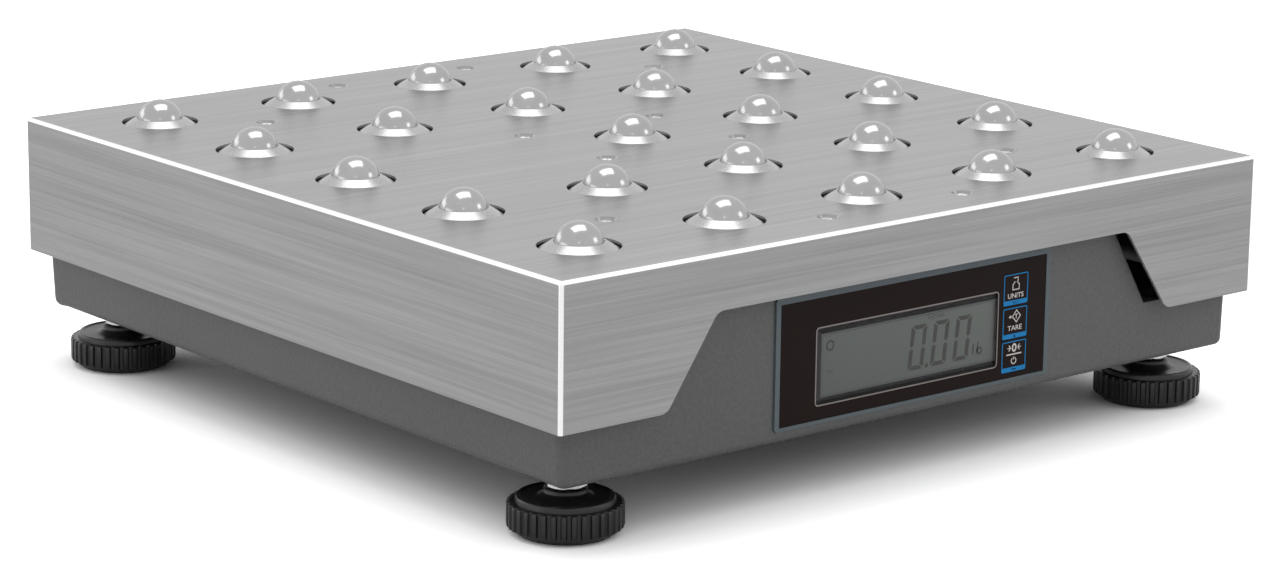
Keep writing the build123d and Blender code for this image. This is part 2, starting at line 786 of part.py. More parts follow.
# Display bezel, in the casting's rebate
bezel_front = casting_front + bezel_proud
bezel_back = bezel_front - bezel_thickness
overlay_width = bezel_width - 2 * bezel_rim_side
overlay_height = bezel_height - bezel_rim_top - bezel_rim_foot
overlay_center_z = bezel_center_z + (bezel_rim_foot - bezel_rim_top) / 2
overlay_front = bezel_front - overlay_recess
overlay_back = overlay_front - overlay_sheet
with BuildPart() as display_bezel:
    with BuildSketch(front(bezel_back)):
        with Locations((bezel_center_x, bezel_center_z)):
            RectangleRounded(bezel_width, bezel_height, bezel_corner)
        with Locations((bezel_center_x, front_window_z)):
            Rectangle(front_window_width, front_window_height, mode=Mode.SUBTRACT)
    extrude(amount=bezel_thickness)
    with BuildSketch(front(bezel_front)):
        with Locations((bezel_center_x, overlay_center_z)):
            Rectangle(overlay_width + 2 * overlay_play, overlay_height + 2 * overlay_play)
    extrude(amount=overlay_back - bezel_front, mode=Mode.SUBTRACT)
finish(display_bezel, "display_bezel")

# Overlay with openings for the lens and the keys
key_places = [(key_center_x, key_middle_z + n * key_pitch) for n in (1, 0, -1)]
with BuildPart() as overlay_panel:
    with BuildSketch(front(overlay_back)):
        with Locations((bezel_center_x, overlay_center_z)):
            Rectangle(overlay_width, overlay_height)
        with Locations((lens_center_x, lens_center_z)):
            RectangleRounded(
                lens_width + 2 * overlay_play,
                lens_height + 2 * overlay_play,
                bezel_corner,
                mode=Mode.SUBTRACT,
            )
        with Locations(*key_places):
            Rectangle(key_width + 2 * key_gap, key_height + 2 * key_gap, mode=Mode.SUBTRACT)
    extrude(amount=overlay_sheet)
finish(overlay_panel, "overlay_panel")

# Clear lens, stepped so that its flange lies behind the overlay
with BuildPart() as display_lens:
    with BuildSketch(front(overlay_back)):
        with Locations((lens_center_x, lens_center_z)):
            RectangleRounded(lens_width, lens_height, bezel_corner)
    extrude(amount=overlay_sheet)
    with BuildSketch(front(overlay_back)):
        with Locations((lens_center_x, lens_center_z)):
            RectangleRounded(
                lens_width + 2 * lens_flange, lens_height + 2 * lens_flange, bezel_corner
            )
    extrude(amount=-lens_flange_thickness)
finish(display_lens, "display_lens")

# Carrier behind the overlay: a bevelled frame round the display and guides for the keys
lcd_width = lcd_view_width + 2 * lcd_margin
lcd_height = lcd_view_height + 2 * lcd_margin
holder_back = board_front
lcd_front = board_front + lcd_thickness
with BuildPart() as display_carrier:
    with BuildSketch(front(holder_back)):
        with Locations((bezel_center_x, front_window_z)):
            RectangleRounded(
                front_window_width - 2 * holder_play,
                front_window_height - 2 * holder_play,
                bezel_corner,
            )
        with Locations(*key_places):
            Rectangle(
                key_stem_width + 2 * holder_play, key_stem_height + 2 * holder_play, mode=Mode.SUBTRACT
            )
    extrude(amount=holder_front - holder_back)
    with BuildSketch(front(holder_back)):
        with Locations((lcd_view_center_x, lcd_view_center_z)):
            Rectangle(lcd_width + 2 * holder_play, lcd_height + 2 * holder_play)
    extrude(amount=lcd_thickness, mode=Mode.SUBTRACT)
    with BuildSketch(front(lcd_front)):
        with Locations((lcd_view_center_x, lcd_view_center_z)):
            Rectangle(lcd_view_width, lcd_view_height)
    with BuildSketch(front(holder_front)):
        with Locations((lcd_view_center_x, lcd_view_center_z)):
            Rectangle(lcd_view_width + 2 * holder_bevel, lcd_view_height + 2 * holder_bevel)
    loft(mode=Mode.SUBTRACT)
    switch_room = switch_height + holder_play
    with BuildSketch(front(holder_back)):
        with Locations((key_center_x, key_middle_z)):
            Rectangle(
                key_stem_width + 2 * holder_play,
                2 * key_pitch + key_stem_height + 2 * holder_play,
            )
    extrude(amount=switch_room, mode=Mode.SUBTRACT)
    flange_room = key_flange_thickness + key_travel + 2 * key_slack - lens_flange_thickness
    with BuildSketch(front(holder_front)):
        with Locations((key_center_x, key_middle_z)):
            Rectangle(
                key_width + 2 * (key_flange + holder_play),
                2 * key_pitch + key_height + 2 * (key_flange + holder_play),
            )
    extrude(amount=-flange_room, mode=Mode.SUBTRACT)
finish(display_carrier, "display_carrier")

with BuildPart() as lcd_module:
    with BuildSketch(front(board_front)):
        with Locations((lcd_view_center_x, lcd_view_center_z)):
            Rectangle(lcd_width, lcd_height)
    extrude(amount=lcd_thickness)
finish(lcd_module, "lcd_module")

# Display board with its screws and the switches behind the keys
board_back = board_front - board_thickness
with BuildPart() as display_board:
    with BuildSketch(front(board_back)):
        with Locations((bezel_center_x, front_window_z)):
            Rectangle(board_width, board_height)
        with Locations(*board_screw_places):
            Circle(board_screw_diameter / 2 + screw_play, mode=Mode.SUBTRACT)
    extrude(amount=board_thickness)
finish(display_board, "display_board")

with BuildPart() as display_board_screws:
    with BuildSketch(front(board_back)):
        with Locations(*board_screw_places):
            Circle(board_screw_head / 2)
    extrude(amount=-board_screw_head_height)
    with BuildSketch(front(board_back)):
        with Locations(*board_screw_places):
            Circle(board_screw_diameter / 2)
    extrude(amount=casting_front - casting_wall - board_back)
finish(display_board_screws, "display_board_screws")

with BuildPart() as key_switches:
    with BuildSketch(front(board_front)):
        with Locations(*key_places):
            Rectangle(switch_size, switch_size)
    extrude(amount=switch_height)
finish(key_switches, "key_switches")

# Keys: each has a cap in the overlay, a flange behind it and a stem towards its switch
switch_face = board_front + switch_height
for (x, z), label in zip(key_places, ("units_key", "tare_key", "zero_key")):
    with BuildPart() as key:
        with BuildSketch(front(overlay_front)):
            with Locations((x, z)):
                Rectangle(key_width, key_height)
        extrude(amount=overlay_back - key_slack - overlay_front)
        with BuildSketch(front(overlay_back - key_slack)):
            with Locations((x, z)):
                Rectangle(key_width + 2 * key_flange, key_height + 2 * key_flange)
        extrude(amount=-key_flange_thickness)
        with BuildSketch(front(overlay_back - key_slack - key_flange_thickness)):
            with Locations((x, z)):
                Rectangle(key_stem_width, key_stem_height)
        extrude(
            amount=switch_face
            + key_travel
            + key_slack
            - (overlay_back - key_slack - key_flange_thickness)
        )
    finish(key, label)

# Cover over the back of the hood
with BuildPart() as display_cover:
    with BuildSketch(front(hood_back)):
        with BuildLine():
            Polyline(*hood_outline(display_cover_inset, floor_top + display_cover_foot), close=True)
        make_face()
    extrude(amount=-display_cover_sheet)
finish(display_cover, "display_cover")

# Main board on its standoffs
main_board_bottom = floor_top + standoff_height
main_board_top = main_board_bottom + board_thickness
with BuildPart() as main_board:
    with BuildSketch(Plane.XY.offset(main_board_bottom)):
        with Locations((main_board_center_x, main_board_center_y)):
            Rectangle(main_board_width, main_board_depth)
        with Locations(*standoff_places):
            Circle(board_screw_diameter / 2 + screw_play, mode=Mode.SUBTRACT)
    extrude(amount=board_thickness)
finish(main_board, "main_board")

with BuildPart() as main_board_screws:
    with BuildSketch(Plane.XY.offset(main_board_top)):
        with Locations(*standoff_places):
            Circle(board_screw_head / 2)
    extrude(amount=board_screw_head_height)
    with BuildSketch(Plane.XY.offset(main_board_top)):
        with Locations(*standoff_places):
            Circle(board_screw_diameter / 2)
    extrude(amount=-(board_thickness + standoff_height))
finish(main_board_screws, "main_board_screws")

# Connector plate on the back, its screws, the power jack and the data port
plate_front = casting_depth / 2
socket_z = main_board_top + data_port_height / 2
jack_z = main_board_top + power_jack_height / 2
data_x = main_board_center_x + data_port_offset
jack_x = main_board_center_x + power_jack_offset
with BuildPart() as rear_plate:
    with BuildSketch(back(plate_front)):
        with Locations((-main_board_center_x, rear_plate_center_z)):
            Rectangle(rear_plate_width, rear_plate_height)
        with Locations((-data_x, socket_z)):
            Rectangle(data_socket_width, data_socket_height, mode=Mode.SUBTRACT)
        with Locations((-jack_x, jack_z)):
            Circle(power_jack_bore / 2, mode=Mode.SUBTRACT)
        with Locations(*[(-x, rear_plate_center_z) for x in rear_plate_screw_xs]):
            Circle(board_screw_diameter / 2 + screw_play, mode=Mode.SUBTRACT)
    extrude(amount=rear_plate_sheet)
finish(rear_plate, "rear_plate")

with BuildPart() as rear_plate_screws:
    with BuildSketch(back(plate_front + rear_plate_sheet)):
        with Locations(*[(-x, rear_plate_center_z) for x in rear_plate_screw_xs]):
            Circle(board_screw_head / 2)
    extrude(amount=board_screw_head_height / 2)
    with BuildSketch(back(plate_front + rear_plate_sheet)):
        with Locations(*[(-x, rear_plate_center_z) for x in rear_plate_screw_xs]):
            Circle(board_screw_diameter / 2)
    extrude(amount=-(rear_plate_sheet + casting_wall))
finish(rear_plate_screws, "rear_plate_screws")

with BuildPart() as data_port:
    with BuildSketch(back(plate_front)):
        with Locations((-data_x, socket_z)):
            Rectangle(data_port_width, data_port_height)
    extrude(amount=-data_port_length)
    with BuildSketch(back(plate_front)):
        with Locations((-data_x, socket_z)):
            Rectangle(data_socket_width, data_socket_height)
    extrude(amount=-data_socket_depth, mode=Mode.SUBTRACT)
finish(data_port, "data_port")

with BuildPart() as power_jack:
    with BuildSketch(back(plate_front)):
        with Locations((-jack_x, jack_z)):
            Rectangle(power_jack_width, power_jack_height)
    extrude(amount=-power_jack_length)
    with BuildSketch(back(plate_front)):
        with Locations((-jack_x, jack_z)):
            Circle(power_jack_bore / 2)
            Circle(power_jack_pin / 2, mode=Mode.SUBTRACT)
    extrude(amount=-power_jack_bore_depth, mode=Mode.SUBTRACT)
finish(power_jack, "power_jack")

# Bubble level on its boss
level_bottom = floor_top + level_boss_height
with BuildPart() as bubble_level:
    with BuildSketch(Plane.XY.offset(level_bottom)):
        with Locations((level_x, level_y)):
            Circle(level_diameter / 2)
    extrude(amount=level_height)
    with BuildSketch(Plane.XY.offset(level_bottom + level_height)):
        with Locations((level_x, level_y)):
            Circle(level_glass / 2)
    extrude(amount=-level_dish, mode=Mode.SUBTRACT)
finish(bubble_level, "bubble_level")
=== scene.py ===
import bpy
import bmesh
import math
import random
from mathutils import Matrix, Vector


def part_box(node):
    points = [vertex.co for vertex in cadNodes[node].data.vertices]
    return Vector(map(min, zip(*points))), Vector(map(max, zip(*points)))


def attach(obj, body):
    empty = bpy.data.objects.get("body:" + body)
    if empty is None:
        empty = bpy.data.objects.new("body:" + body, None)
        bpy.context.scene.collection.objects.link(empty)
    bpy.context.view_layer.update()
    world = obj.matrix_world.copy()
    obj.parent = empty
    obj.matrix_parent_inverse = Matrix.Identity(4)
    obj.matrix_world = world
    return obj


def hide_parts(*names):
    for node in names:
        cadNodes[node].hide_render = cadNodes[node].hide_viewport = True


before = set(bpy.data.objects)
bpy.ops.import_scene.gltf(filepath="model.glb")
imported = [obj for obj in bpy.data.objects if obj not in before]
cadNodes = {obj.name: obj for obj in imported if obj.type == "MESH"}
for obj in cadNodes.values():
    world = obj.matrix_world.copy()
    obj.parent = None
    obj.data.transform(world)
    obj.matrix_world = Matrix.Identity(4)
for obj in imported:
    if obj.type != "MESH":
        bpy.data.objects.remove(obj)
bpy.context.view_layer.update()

mm = 0.001
feet = ("front_left", "front_right", "rear_left", "rear_right")
keys = ("units_key", "tare_key", "zero_key")


# small helpers for shader trees

def addNode(tree, kind, inputs=None, **settings):
    made = tree.nodes.new("ShaderNode" + kind)
    for key, value in settings.items():
        setattr(made, key, value)
    for key, value in (inputs or {}).items():
        if isinstance(value, bpy.types.NodeSocket):
            tree.links.new(value, made.inputs[key])
        else:
            made.inputs[key].default_value = value
    return made


def math2(tree, operation, first, second=0.0):
    return addNode(tree, "Math", {0: first, 1: second}, operation=operation).outputs[0]


def blended(tree, parts):
    # a sum of (socket, share) pairs
    total = None
    for socket, share in parts:
        weighed = math2(tree, "MULTIPLY", socket, share)
        total = weighed if total is None else math2(tree, "ADD", total, weighed)
    return total


def spread(tree, socket, low, high, lowTo, highTo):
    return addNode(tree, "MapRange", {0: socket, 1: low, 2: high, 3: lowTo, 4: highTo}).outputs[0]


def ramp(tree, factor, stops):
    made = addNode(tree, "ValToRGB", {0: factor})
    while len(made.color_ramp.elements) < len(stops):
        made.color_ramp.elements.new(0.5)
    for element, (place, colour) in zip(made.color_ramp.elements, stops):
        element.position = place
        element.color = (*colour, 1)
    return made.outputs[0]


def grey(value):
    return (value, value, value)


def startMaterial(name, **sockets):
    material = bpy.data.materials.new(name)
    material.use_nodes = True
    tree = material.node_tree
    shader = tree.nodes["Principled BSDF"]
    for key, value in sockets.items():
        shader.inputs[key.replace("_", " ")].default_value = (*value, 1) if key == "Base_Color" else value
    return material, tree, shader


def noise(tree, vector, scale, detail=2.0, rough=0.5):
    inputs = {"Vector": vector, "Scale": scale, "Detail": detail, "Roughness": rough}
    return addNode(tree, "TexNoise", inputs).outputs[0]


def stretched(tree, vector, factors, detail=2.0):
    # noise that is drawn out along one or more axes
    scaledVector = addNode(tree, "VectorMath", {0: vector, 1: factors}, operation="MULTIPLY").outputs[0]
    return noise(tree, scaledVector, 1.0, detail)


def objectPlace(tree):
    return addNode(tree, "TexCoord").outputs["Object"]


def bumpFrom(tree, shader, height, strength, distance):
    bump = addNode(tree, "Bump", {"Height": height, "Strength": strength, "Distance": distance})
    tree.links.new(bump.outputs[0], shader.inputs["Normal"])


# the platter's sheet, brushed along X on its top, front and back and along Y on its sides
brushed = {
    "dark": 0.265, "light": 0.405,      # a streak's darkest and lightest grey
    "foldHighlight": 0.96,                       # painted highlight: the folds get a bright base colour that stands for the light they catch
    "foldHighlightReach": 0.004,                 # how far the painted fold highlight reaches in from the sides
    "finePitch": (16.0, 1500.0),        # per metre, along and across the brushing
    "streakPitch": (6.0, 480.0),
    "bandPitch": (2.5, 120.0),
    "roughness": 0.33,
}


def brushedSteel(name):
    material, tree, shader = startMaterial(name, Metallic=1.0, Roughness=brushed["roughness"])
    coords = addNode(tree, "TexCoord")
    place = addNode(tree, "SeparateXYZ", {0: coords.outputs["Object"]})
    facing = addNode(tree, "SeparateXYZ", {0: coords.outputs["Normal"]})
    facings = [math2(tree, "ABSOLUTE", facing.outputs[axis]) for axis in range(3)]
    facesSide = math2(tree, "GREATER_THAN", facings[0], 0.72)
    along = addNode(tree, "Mix", {0: facesSide, 2: place.outputs[0], 3: place.outputs[1]}).outputs[0]
    across = addNode(tree, "Mix", {0: facesSide, 2: place.outputs[1], 3: place.outputs[0]}).outputs[0]
    grain = addNode(tree, "CombineXYZ", {0: along, 1: across, 2: place.outputs[2]}).outputs[0]
    layers = []
    for key in ("finePitch", "streakPitch", "bandPitch"):
        run, pitch = brushed[key]
        layers.append(stretched(tree, grain, (run, pitch, pitch), 3.0))
    tone = blended(tree, zip(layers, (0.36, 0.42, 0.22)))
    colour = ramp(tree, tone, [(0.30, grey(brushed["dark"])), (0.70, grey(brushed["light"]))])
    # painted highlight: a mask of the bent strips near the outline, where the base colour turns bright
    flat = math2(tree, "MAXIMUM", math2(tree, "MAXIMUM", facings[0], facings[1]), facings[2])
    low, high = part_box("platter_shroud")
    reach = math2(tree, "MAXIMUM", math2(tree, "ABSOLUTE", place.outputs[0]), math2(tree, "ABSOLUTE", place.outputs[1]))
    nearFoldHighlight = math2(tree, "GREATER_THAN", reach, high.x - brushed["foldHighlightReach"])
    foldHighlightMask = math2(tree, "MULTIPLY", spread(tree, flat, 0.997, 0.985, 0.0, 1.0), nearFoldHighlight)
    mixed = addNode(tree, "Mix", {0: foldHighlightMask, 6: colour, 7: (*grey(brushed["foldHighlight"]), 1)}, data_type="RGBA")
    tree.links.new(mixed.outputs[2], shader.inputs["Base Color"])
    rough = spread(tree, layers[0], 0.3, 0.7, brushed["roughness"] - 0.06, brushed["roughness"] + 0.08)
    tree.links.new(rough, shader.inputs["Roughness"])
    bumpFrom(tree, shader, layers[0], 0.10, 0.00005)
    return material


# the casting's paint: grey with a fine orange peel
hammer = {
    "dark": (0.088, 0.089, 0.090), "light": (0.150, 0.151, 0.152),
    "cell": 560.0,      # bumps per metre
    "relief": 0.0005,
    "roughness": (0.36, 0.52),
}


def hammerPaint(name):
    material, tree, shader = startMaterial(name, Metallic=0.1, Roughness=hammer["roughness"][0])
    place = objectPlace(tree)
    lumps = noise(tree, place, hammer["cell"], 2.5, 0.55)
    fine = noise(tree, place, hammer["cell"] * 3.4, 2.0, 0.6)
    cloud = noise(tree, place, 14.0)
    tone = blended(tree, ((fine, 0.45), (lumps, 0.4), (cloud, 0.15)))
    colour = ramp(tree, tone, [(0.32, hammer["dark"]), (0.68, hammer["light"])])
    tree.links.new(colour, shader.inputs["Base Color"])
    tree.links.new(spread(tree, lumps, 0.3, 0.7, *hammer["roughness"]), shader.inputs["Roughness"])
    bumpFrom(tree, shader, blended(tree, ((lumps, 0.75), (fine, 0.25))), 0.55, hammer["relief"])
    return material


def plainMetal(name, dark, light, roughness, grainScale, relief=0.00003):
    # turned, plated or cast metal with a fine grain
    material, tree, shader = startMaterial(name, Metallic=1.0, Roughness=roughness)
    place = objectPlace(tree)
    fine = noise(tree, place, grainScale, 3.0, 0.6)
    cloud = noise(tree, place, grainScale / 12)
    tone = blended(tree, ((fine, 0.5), (cloud, 0.5)))
    tree.links.new(ramp(tree, tone, [(0.3, dark), (0.7, light)]), shader.inputs["Base Color"])
    tree.links.new(spread(tree, fine, 0.3, 0.7, roughness * 0.8, roughness * 1.25), shader.inputs["Roughness"])
    bumpFrom(tree, shader, fine, 0.3, relief)
    return material


def mouldedPlastic(name, dark, light, roughness, grainScale=900.0, relief=0.00004, specular=0.5):
    material, tree, shader = startMaterial(name, Roughness=roughness, Specular_IOR_Level=specular)
    place = objectPlace(tree)
    fine = noise(tree, place, grainScale)
    cloud = noise(tree, place, grainScale / 20)
    tone = blended(tree, ((fine, 0.4), (cloud, 0.6)))
    tree.links.new(ramp(tree, tone, [(0.3, dark), (0.7, light)]), shader.inputs["Base Color"])
    tree.links.new(spread(tree, cloud, 0.3, 0.7, roughness * 0.85, roughness * 1.2), shader.inputs["Roughness"])
    bumpFrom(tree, shader, fine, 0.35, relief)
    return material


def print2(name, dark, light):
    # a thin layer of ink
    return mouldedPlastic(name, dark, light, 0.5, 3000.0, 0.00001, 0.1)


def clearLens(name):
    lens = {"Alpha": 0.08, "Base_Color": (0.10, 0.10, 0.10), "Specular_IOR_Level": 0.25}
    material, tree, shader = startMaterial(name, Roughness=0.05, **lens)
    haze = noise(tree, objectPlace(tree), 60.0, 3.0, 0.6)
    tree.links.new(spread(tree, haze, 0.3, 0.7, 0.04, 0.09), shader.inputs["Roughness"])
    material.surface_render_method = "BLENDED"
    return material


# the display's ground, a grey-green that is a little lighter to the upper right
ground = {"low": (0.215, 0.235, 0.220), "high": (0.275, 0.300, 0.280), "alongX": 5.0, "alongZ": 14.0}


def liquidCrystal(name):
    material, tree, shader = startMaterial(name, Roughness=0.4, Specular_IOR_Level=0.1)
    place = objectPlace(tree)
    parts = addNode(tree, "SeparateXYZ", {0: place})
    cloud = noise(tree, place, 25.0)
    slope = blended(tree, ((parts.outputs[0], ground["alongX"]), (parts.outputs[2], ground["alongZ"]), (cloud, 0.15)))
    level = spread(tree, slope, 0.45, 1.2, 0.0, 1.0)
    tree.links.new(ramp(tree, level, [(0.0, ground["low"]), (1.0, ground["high"])]), shader.inputs["Base Color"])
    bumpFrom(tree, shader, noise(tree, place, 6000.0, 1.0), 0.1, 0.00002)
    return material


def boardMaterial(name):
    # green mask over tracks
    material, tree, shader = startMaterial(name, Roughness=0.38)
    colours = {"Color1": (0.012, 0.09, 0.03, 1), "Color2": (0.010, 0.075, 0.026, 1), "Mortar": (0.03, 0.16, 0.06, 1)}
    tracks = addNode(tree, "TexBrick", {"Vector": objectPlace(tree), "Scale": 260.0, "Mortar Size": 0.06, **colours})
    tree.links.new(tracks.outputs["Color"], shader.inputs["Base Color"])
    bumpFrom(tree, shader, tracks.outputs["Fac"], 0.2, 0.00004)
    return material


materials = {
    "platterSteel": brushedSteel("brushed_platter_steel"),
    "plateSteel": plainMetal("plain_plate_steel", grey(0.34), grey(0.44), 0.38, 700.0),
    "collarSteel": plainMetal("pressed_collar_steel", grey(0.38), grey(0.50), 0.30, 1400.0),
    "ballSteel": plainMetal("polished_ball_steel", grey(0.39), grey(0.44), 0.17, 1500.0, relief=0.000005),
    "rivetSteel": plainMetal("rough_rivet_steel", grey(0.30), grey(0.80), 0.26, 900.0, relief=0.0003),
    "zinc": plainMetal("zinc_plated_steel", (0.66, 0.67, 0.68), (0.80, 0.81, 0.82), 0.24, 1200.0),
    "hammerGrey": hammerPaint("grey_hammer_paint"),
    "castAluminium": plainMetal("cast_aluminium", grey(0.46), grey(0.58), 0.45, 500.0, relief=0.0001),
    "goldContact": plainMetal("gold_plated_contact", (0.70, 0.47, 0.16), (0.82, 0.58, 0.22), 0.25, 1500.0),
    "blackPlastic": mouldedPlastic("black_moulded_plastic", grey(0.008), grey(0.014), 0.34),
    "rubber": mouldedPlastic("black_rubber", grey(0.018), grey(0.026), 0.75),
    "bezelGrey": mouldedPlastic("blue_grey_bezel", (0.095, 0.125, 0.140), (0.115, 0.147, 0.163), 0.42),
    "overlayFilm": mouldedPlastic("dark_overlay_film", (0.0105, 0.0048, 0.0038), (0.0130, 0.0062, 0.0050),
                                  0.42, 2500.0, 0.000012, 0.10),
    "lens": clearLens("clear_lens"),
    "lcdGlass": liquidCrystal("display_ground"),
    "board": boardMaterial("green_circuit_board"),
    "lcdInk": print2("display_ink", (0.125, 0.122, 0.118), (0.145, 0.142, 0.138)),
    "lcdInkFaint": print2("faint_display_ink", (0.150, 0.155, 0.150), (0.170, 0.175, 0.170)),
    # painted highlight: a light grey ink that stands for the reflection on the display window's cut edge
    "windowEdgeHighlight": print2("painted_window_edge_highlight", (0.34, 0.30, 0.29), (0.40, 0.35, 0.34)),
    "bluePrint": print2("blue_print", (0.022, 0.270, 0.640), (0.030, 0.315, 0.720)),
    "navyPrint": print2("navy_print", (0.010, 0.060, 0.160), (0.014, 0.075, 0.190)),
    "whitePrint": print2("white_print", (0.78, 0.74, 0.70), (0.86, 0.82, 0.78)),
    "levelLiquid": mouldedPlastic("level_liquid", (0.36, 0.55, 0.05), (0.42, 0.62, 0.08), 0.08),
}

nodeMaterials = {
    "platter_shroud": "platterSteel",
    "ball_carrier": "plateSteel",
    "platter_rivets": "rivetSteel",
    "ball_cups": "plateSteel",
    "ball_collars": "collarSteel",
    "base_casting": "hammerGrey",
    "jam_nuts": "zinc",
    "load_cell": "castAluminium",
    "cell_base_spacer": "plateSteel",
    "cell_top_spacer": "plateSteel",
    "cell_base_screws": "zinc",
    "cell_top_screws": "zinc",
    "spider": "castAluminium",
    "spider_pads": "rubber",
    "overload_stops": "zinc",
    "stop_nuts": "zinc",
    "display_bezel": "bezelGrey",
    "overlay_panel": "overlayFilm",
    "display_lens": "lens",
    "display_carrier": "blackPlastic",
    "lcd_module": "lcdGlass",
    "display_board": "board",
    "display_board_screws": "zinc",
    "key_switches": "blackPlastic",
    "display_cover": "plateSteel",
    "main_board": "board",
    "main_board_screws": "zinc",
    "rear_plate": "castAluminium",
    "rear_plate_screws": "zinc",
    "data_port": "blackPlastic",
    "power_jack": "blackPlastic",
    "bubble_level": "blackPlastic",
}
for row in range(1, 6):
    nodeMaterials[f"ball_row_{row}"] = "ballSteel"
for key in keys:
    nodeMaterials[key] = "overlayFilm"
for foot in feet:
    nodeMaterials[f"foot_stud_{foot}"] = "zinc"
    nodeMaterials[f"foot_knob_{foot}"] = "blackPlastic"
for nodeName, materialName in nodeMaterials.items():
    slots = cadNodes[nodeName].data.materials
    slots.clear()
    slots.append(materials[materialName])
print("materials set on", len(nodeMaterials), "solids")


# meshes are made in millimetres and turned into metres by newPiece

def newPiece(name, shape, material, body, smooth=None, at=(0, 0, 0), stands="Z"):
    # stands="Y" lays a shape that was made along Z down towards the back
    verts, faces = shape
    turn = Matrix.Rotation(math.radians(-90), 4, "X") if stands == "Y" else Matrix.Identity(4)
    place = Matrix.Translation(at) @ turn
    mesh = bpy.data.meshes.new(name)
    mesh.from_pydata([(place @ Vector(vert)) * mm for vert in verts], [], faces)
    mesh.validate()
    mesh.materials.append(materials[material])
    bm = bmesh.new()
    bm.from_mesh(mesh)
    bmesh.ops.remove_doubles(bm, verts=bm.verts, dist=1e-7)
    bmesh.ops.recalc_face_normals(bm, faces=bm.faces)
    bm.to_mesh(mesh)
    bm.free()
    piece = bpy.data.objects.new(name, mesh)
    bpy.context.scene.collection.objects.link(piece)
    if smooth is not None:
        mesh.shade_smooth()
        mesh.set_sharp_from_angle(angle=math.radians(smooth))
    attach(piece, body)
    return piece


def middle(node):
    low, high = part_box(node)
    return (low + high) / 2 / mm


def joined(*shapes):
    verts, faces = [], []
    for partVerts, partFaces in shapes:
        base = len(verts)
        verts += partVerts
        faces += [tuple(base + i for i in face) for face in partFaces]
    return verts, faces


def moved(shape, offset):
    return [tuple(Vector(vert) + Vector(offset)) for vert in shape[0]], shape[1]


def turned(rows, steps, radiusAt=None):
    # a ring of points for each row of (radius, height, extra); a first or last radius of 0 closes the end
    verts, faces = [], []
    for row in rows:
        for step in range(steps):
            angle = 2 * math.pi * step / steps
            radius = radiusAt(row, angle) if radiusAt else row[0]
            verts.append((radius * math.cos(angle), radius * math.sin(angle), row[1]))
    for r in range(len(rows) - 1):
        for step in range(steps):
            after = (step + 1) % steps
            faces.append((r * steps + step, r * steps + after, (r + 1) * steps + after, (r + 1) * steps + step))
    return verts, faces


def rounded(corners, radii, steps=5):
    # a line of (radius, height) points with its corners rounded
    points = []
    for index, (corner, radius) in enumerate(zip(corners, radii)):
        here = Vector(corner)
        if radius == 0 or index in (0, len(corners) - 1):
            points.append(tuple(here))
            continue
        back = (Vector(corners[index - 1]) - here).normalized()
        ahead = (Vector(corners[index + 1]) - here).normalized()
        start, end = here + back * radius, here + ahead * radius
        for step in range(steps + 1):
            t = step / steps
            points.append(tuple(start * (1 - t) ** 2 + here * 2 * t * (1 - t) + end * t ** 2))
    return points


# knobs of the feet: ribs round the band, a disc with a rounded rim and a low hub
knob = {
    "sole": 17.5, "root": 20.45, "ribDepth": 1.15, "ribs": 36, "ribShare": 0.52, "ribEdge": 0.11,
    "bandBottom": 2.5, "bandTop": 12.0,
    "disc": 18.3, "discTop": 14.2, "rimStep": 0.45,
    "hub": 8.0, "hubTop": 17.2, "bore": 4.85,
    "stepsPerRib": 14,
}


def knobRows():
    k = knob
    low, high = k["bandBottom"], k["bandTop"]
    rows = [(0.0005, 0.35, 0), (k["sole"] - 2.5, 0.35, 0), (k["sole"] - 2.1, 0.0, 0)]
    rows += [(k["sole"] - 0.5, 0.0, 0), (k["sole"], 0.12, 0)]
    rows += [(k["root"] - 0.35, low - 0.3, 0), (k["root"], low, 0.05), (k["root"], low + 0.3, 0.8), (k["root"], low + 0.7, 1)]
    rows += [(k["root"], low + (high - low) * t, 1) for t in (0.35, 0.65)]
    rows += [(k["root"], high - 0.8, 1), (k["root"], high - 0.35, 0.86), (k["root"], high - 0.05, 0.5)]
    rows += [(k["root"] - 0.5, high, 0.2), (k["root"] - 1.0, high, 0)]
    step = k["rimStep"]
    upper = rounded(
        [(k["disc"] + 0.25, high), (k["disc"], k["discTop"] - 0.7), (k["disc"] - step, k["discTop"]),
         (k["disc"] - 1.5, k["discTop"]), (k["disc"] - 2.0, k["discTop"] - step), (k["hub"] + 2.6, k["discTop"] - step),
         (k["hub"] + 0.1, k["discTop"] + 1.4), (k["hub"], k["hubTop"] - 0.4), (k["hub"] - 0.5, k["hubTop"])],
        (0, 0.3, 0.35, 0.3, 0.3, 1.2, 0.8, 0.2, 0), 6)
    rows += [(r, z, 0) for r, z in upper]
    rows += [(k["bore"], k["hubTop"], 0), (k["bore"], k["hubTop"] - 1.0, 0)]
    return rows


def knobRadius(row, angle):
    radius, height, rib = row
    if rib == 0:
        return radius
    turn = angle * knob["ribs"] / (2 * math.pi)
    away = abs(turn - round(turn)) * 2          # 0 on a rib, 1 between two
    lift = min(max((knob["ribShare"] + knob["ribEdge"] - away) / (2 * knob["ribEdge"]), 0), 1)
    lift = lift * lift * (3 - 2 * lift)
    return radius + knob["ribDepth"] * rib * lift


# studs with a real thread, which shows where a foot is screwed out
thread = {"pitch": 1.5875, "core": 4.05, "crest": 4.76, "stepsPerTurn": 28, "chamfer": 1.0}


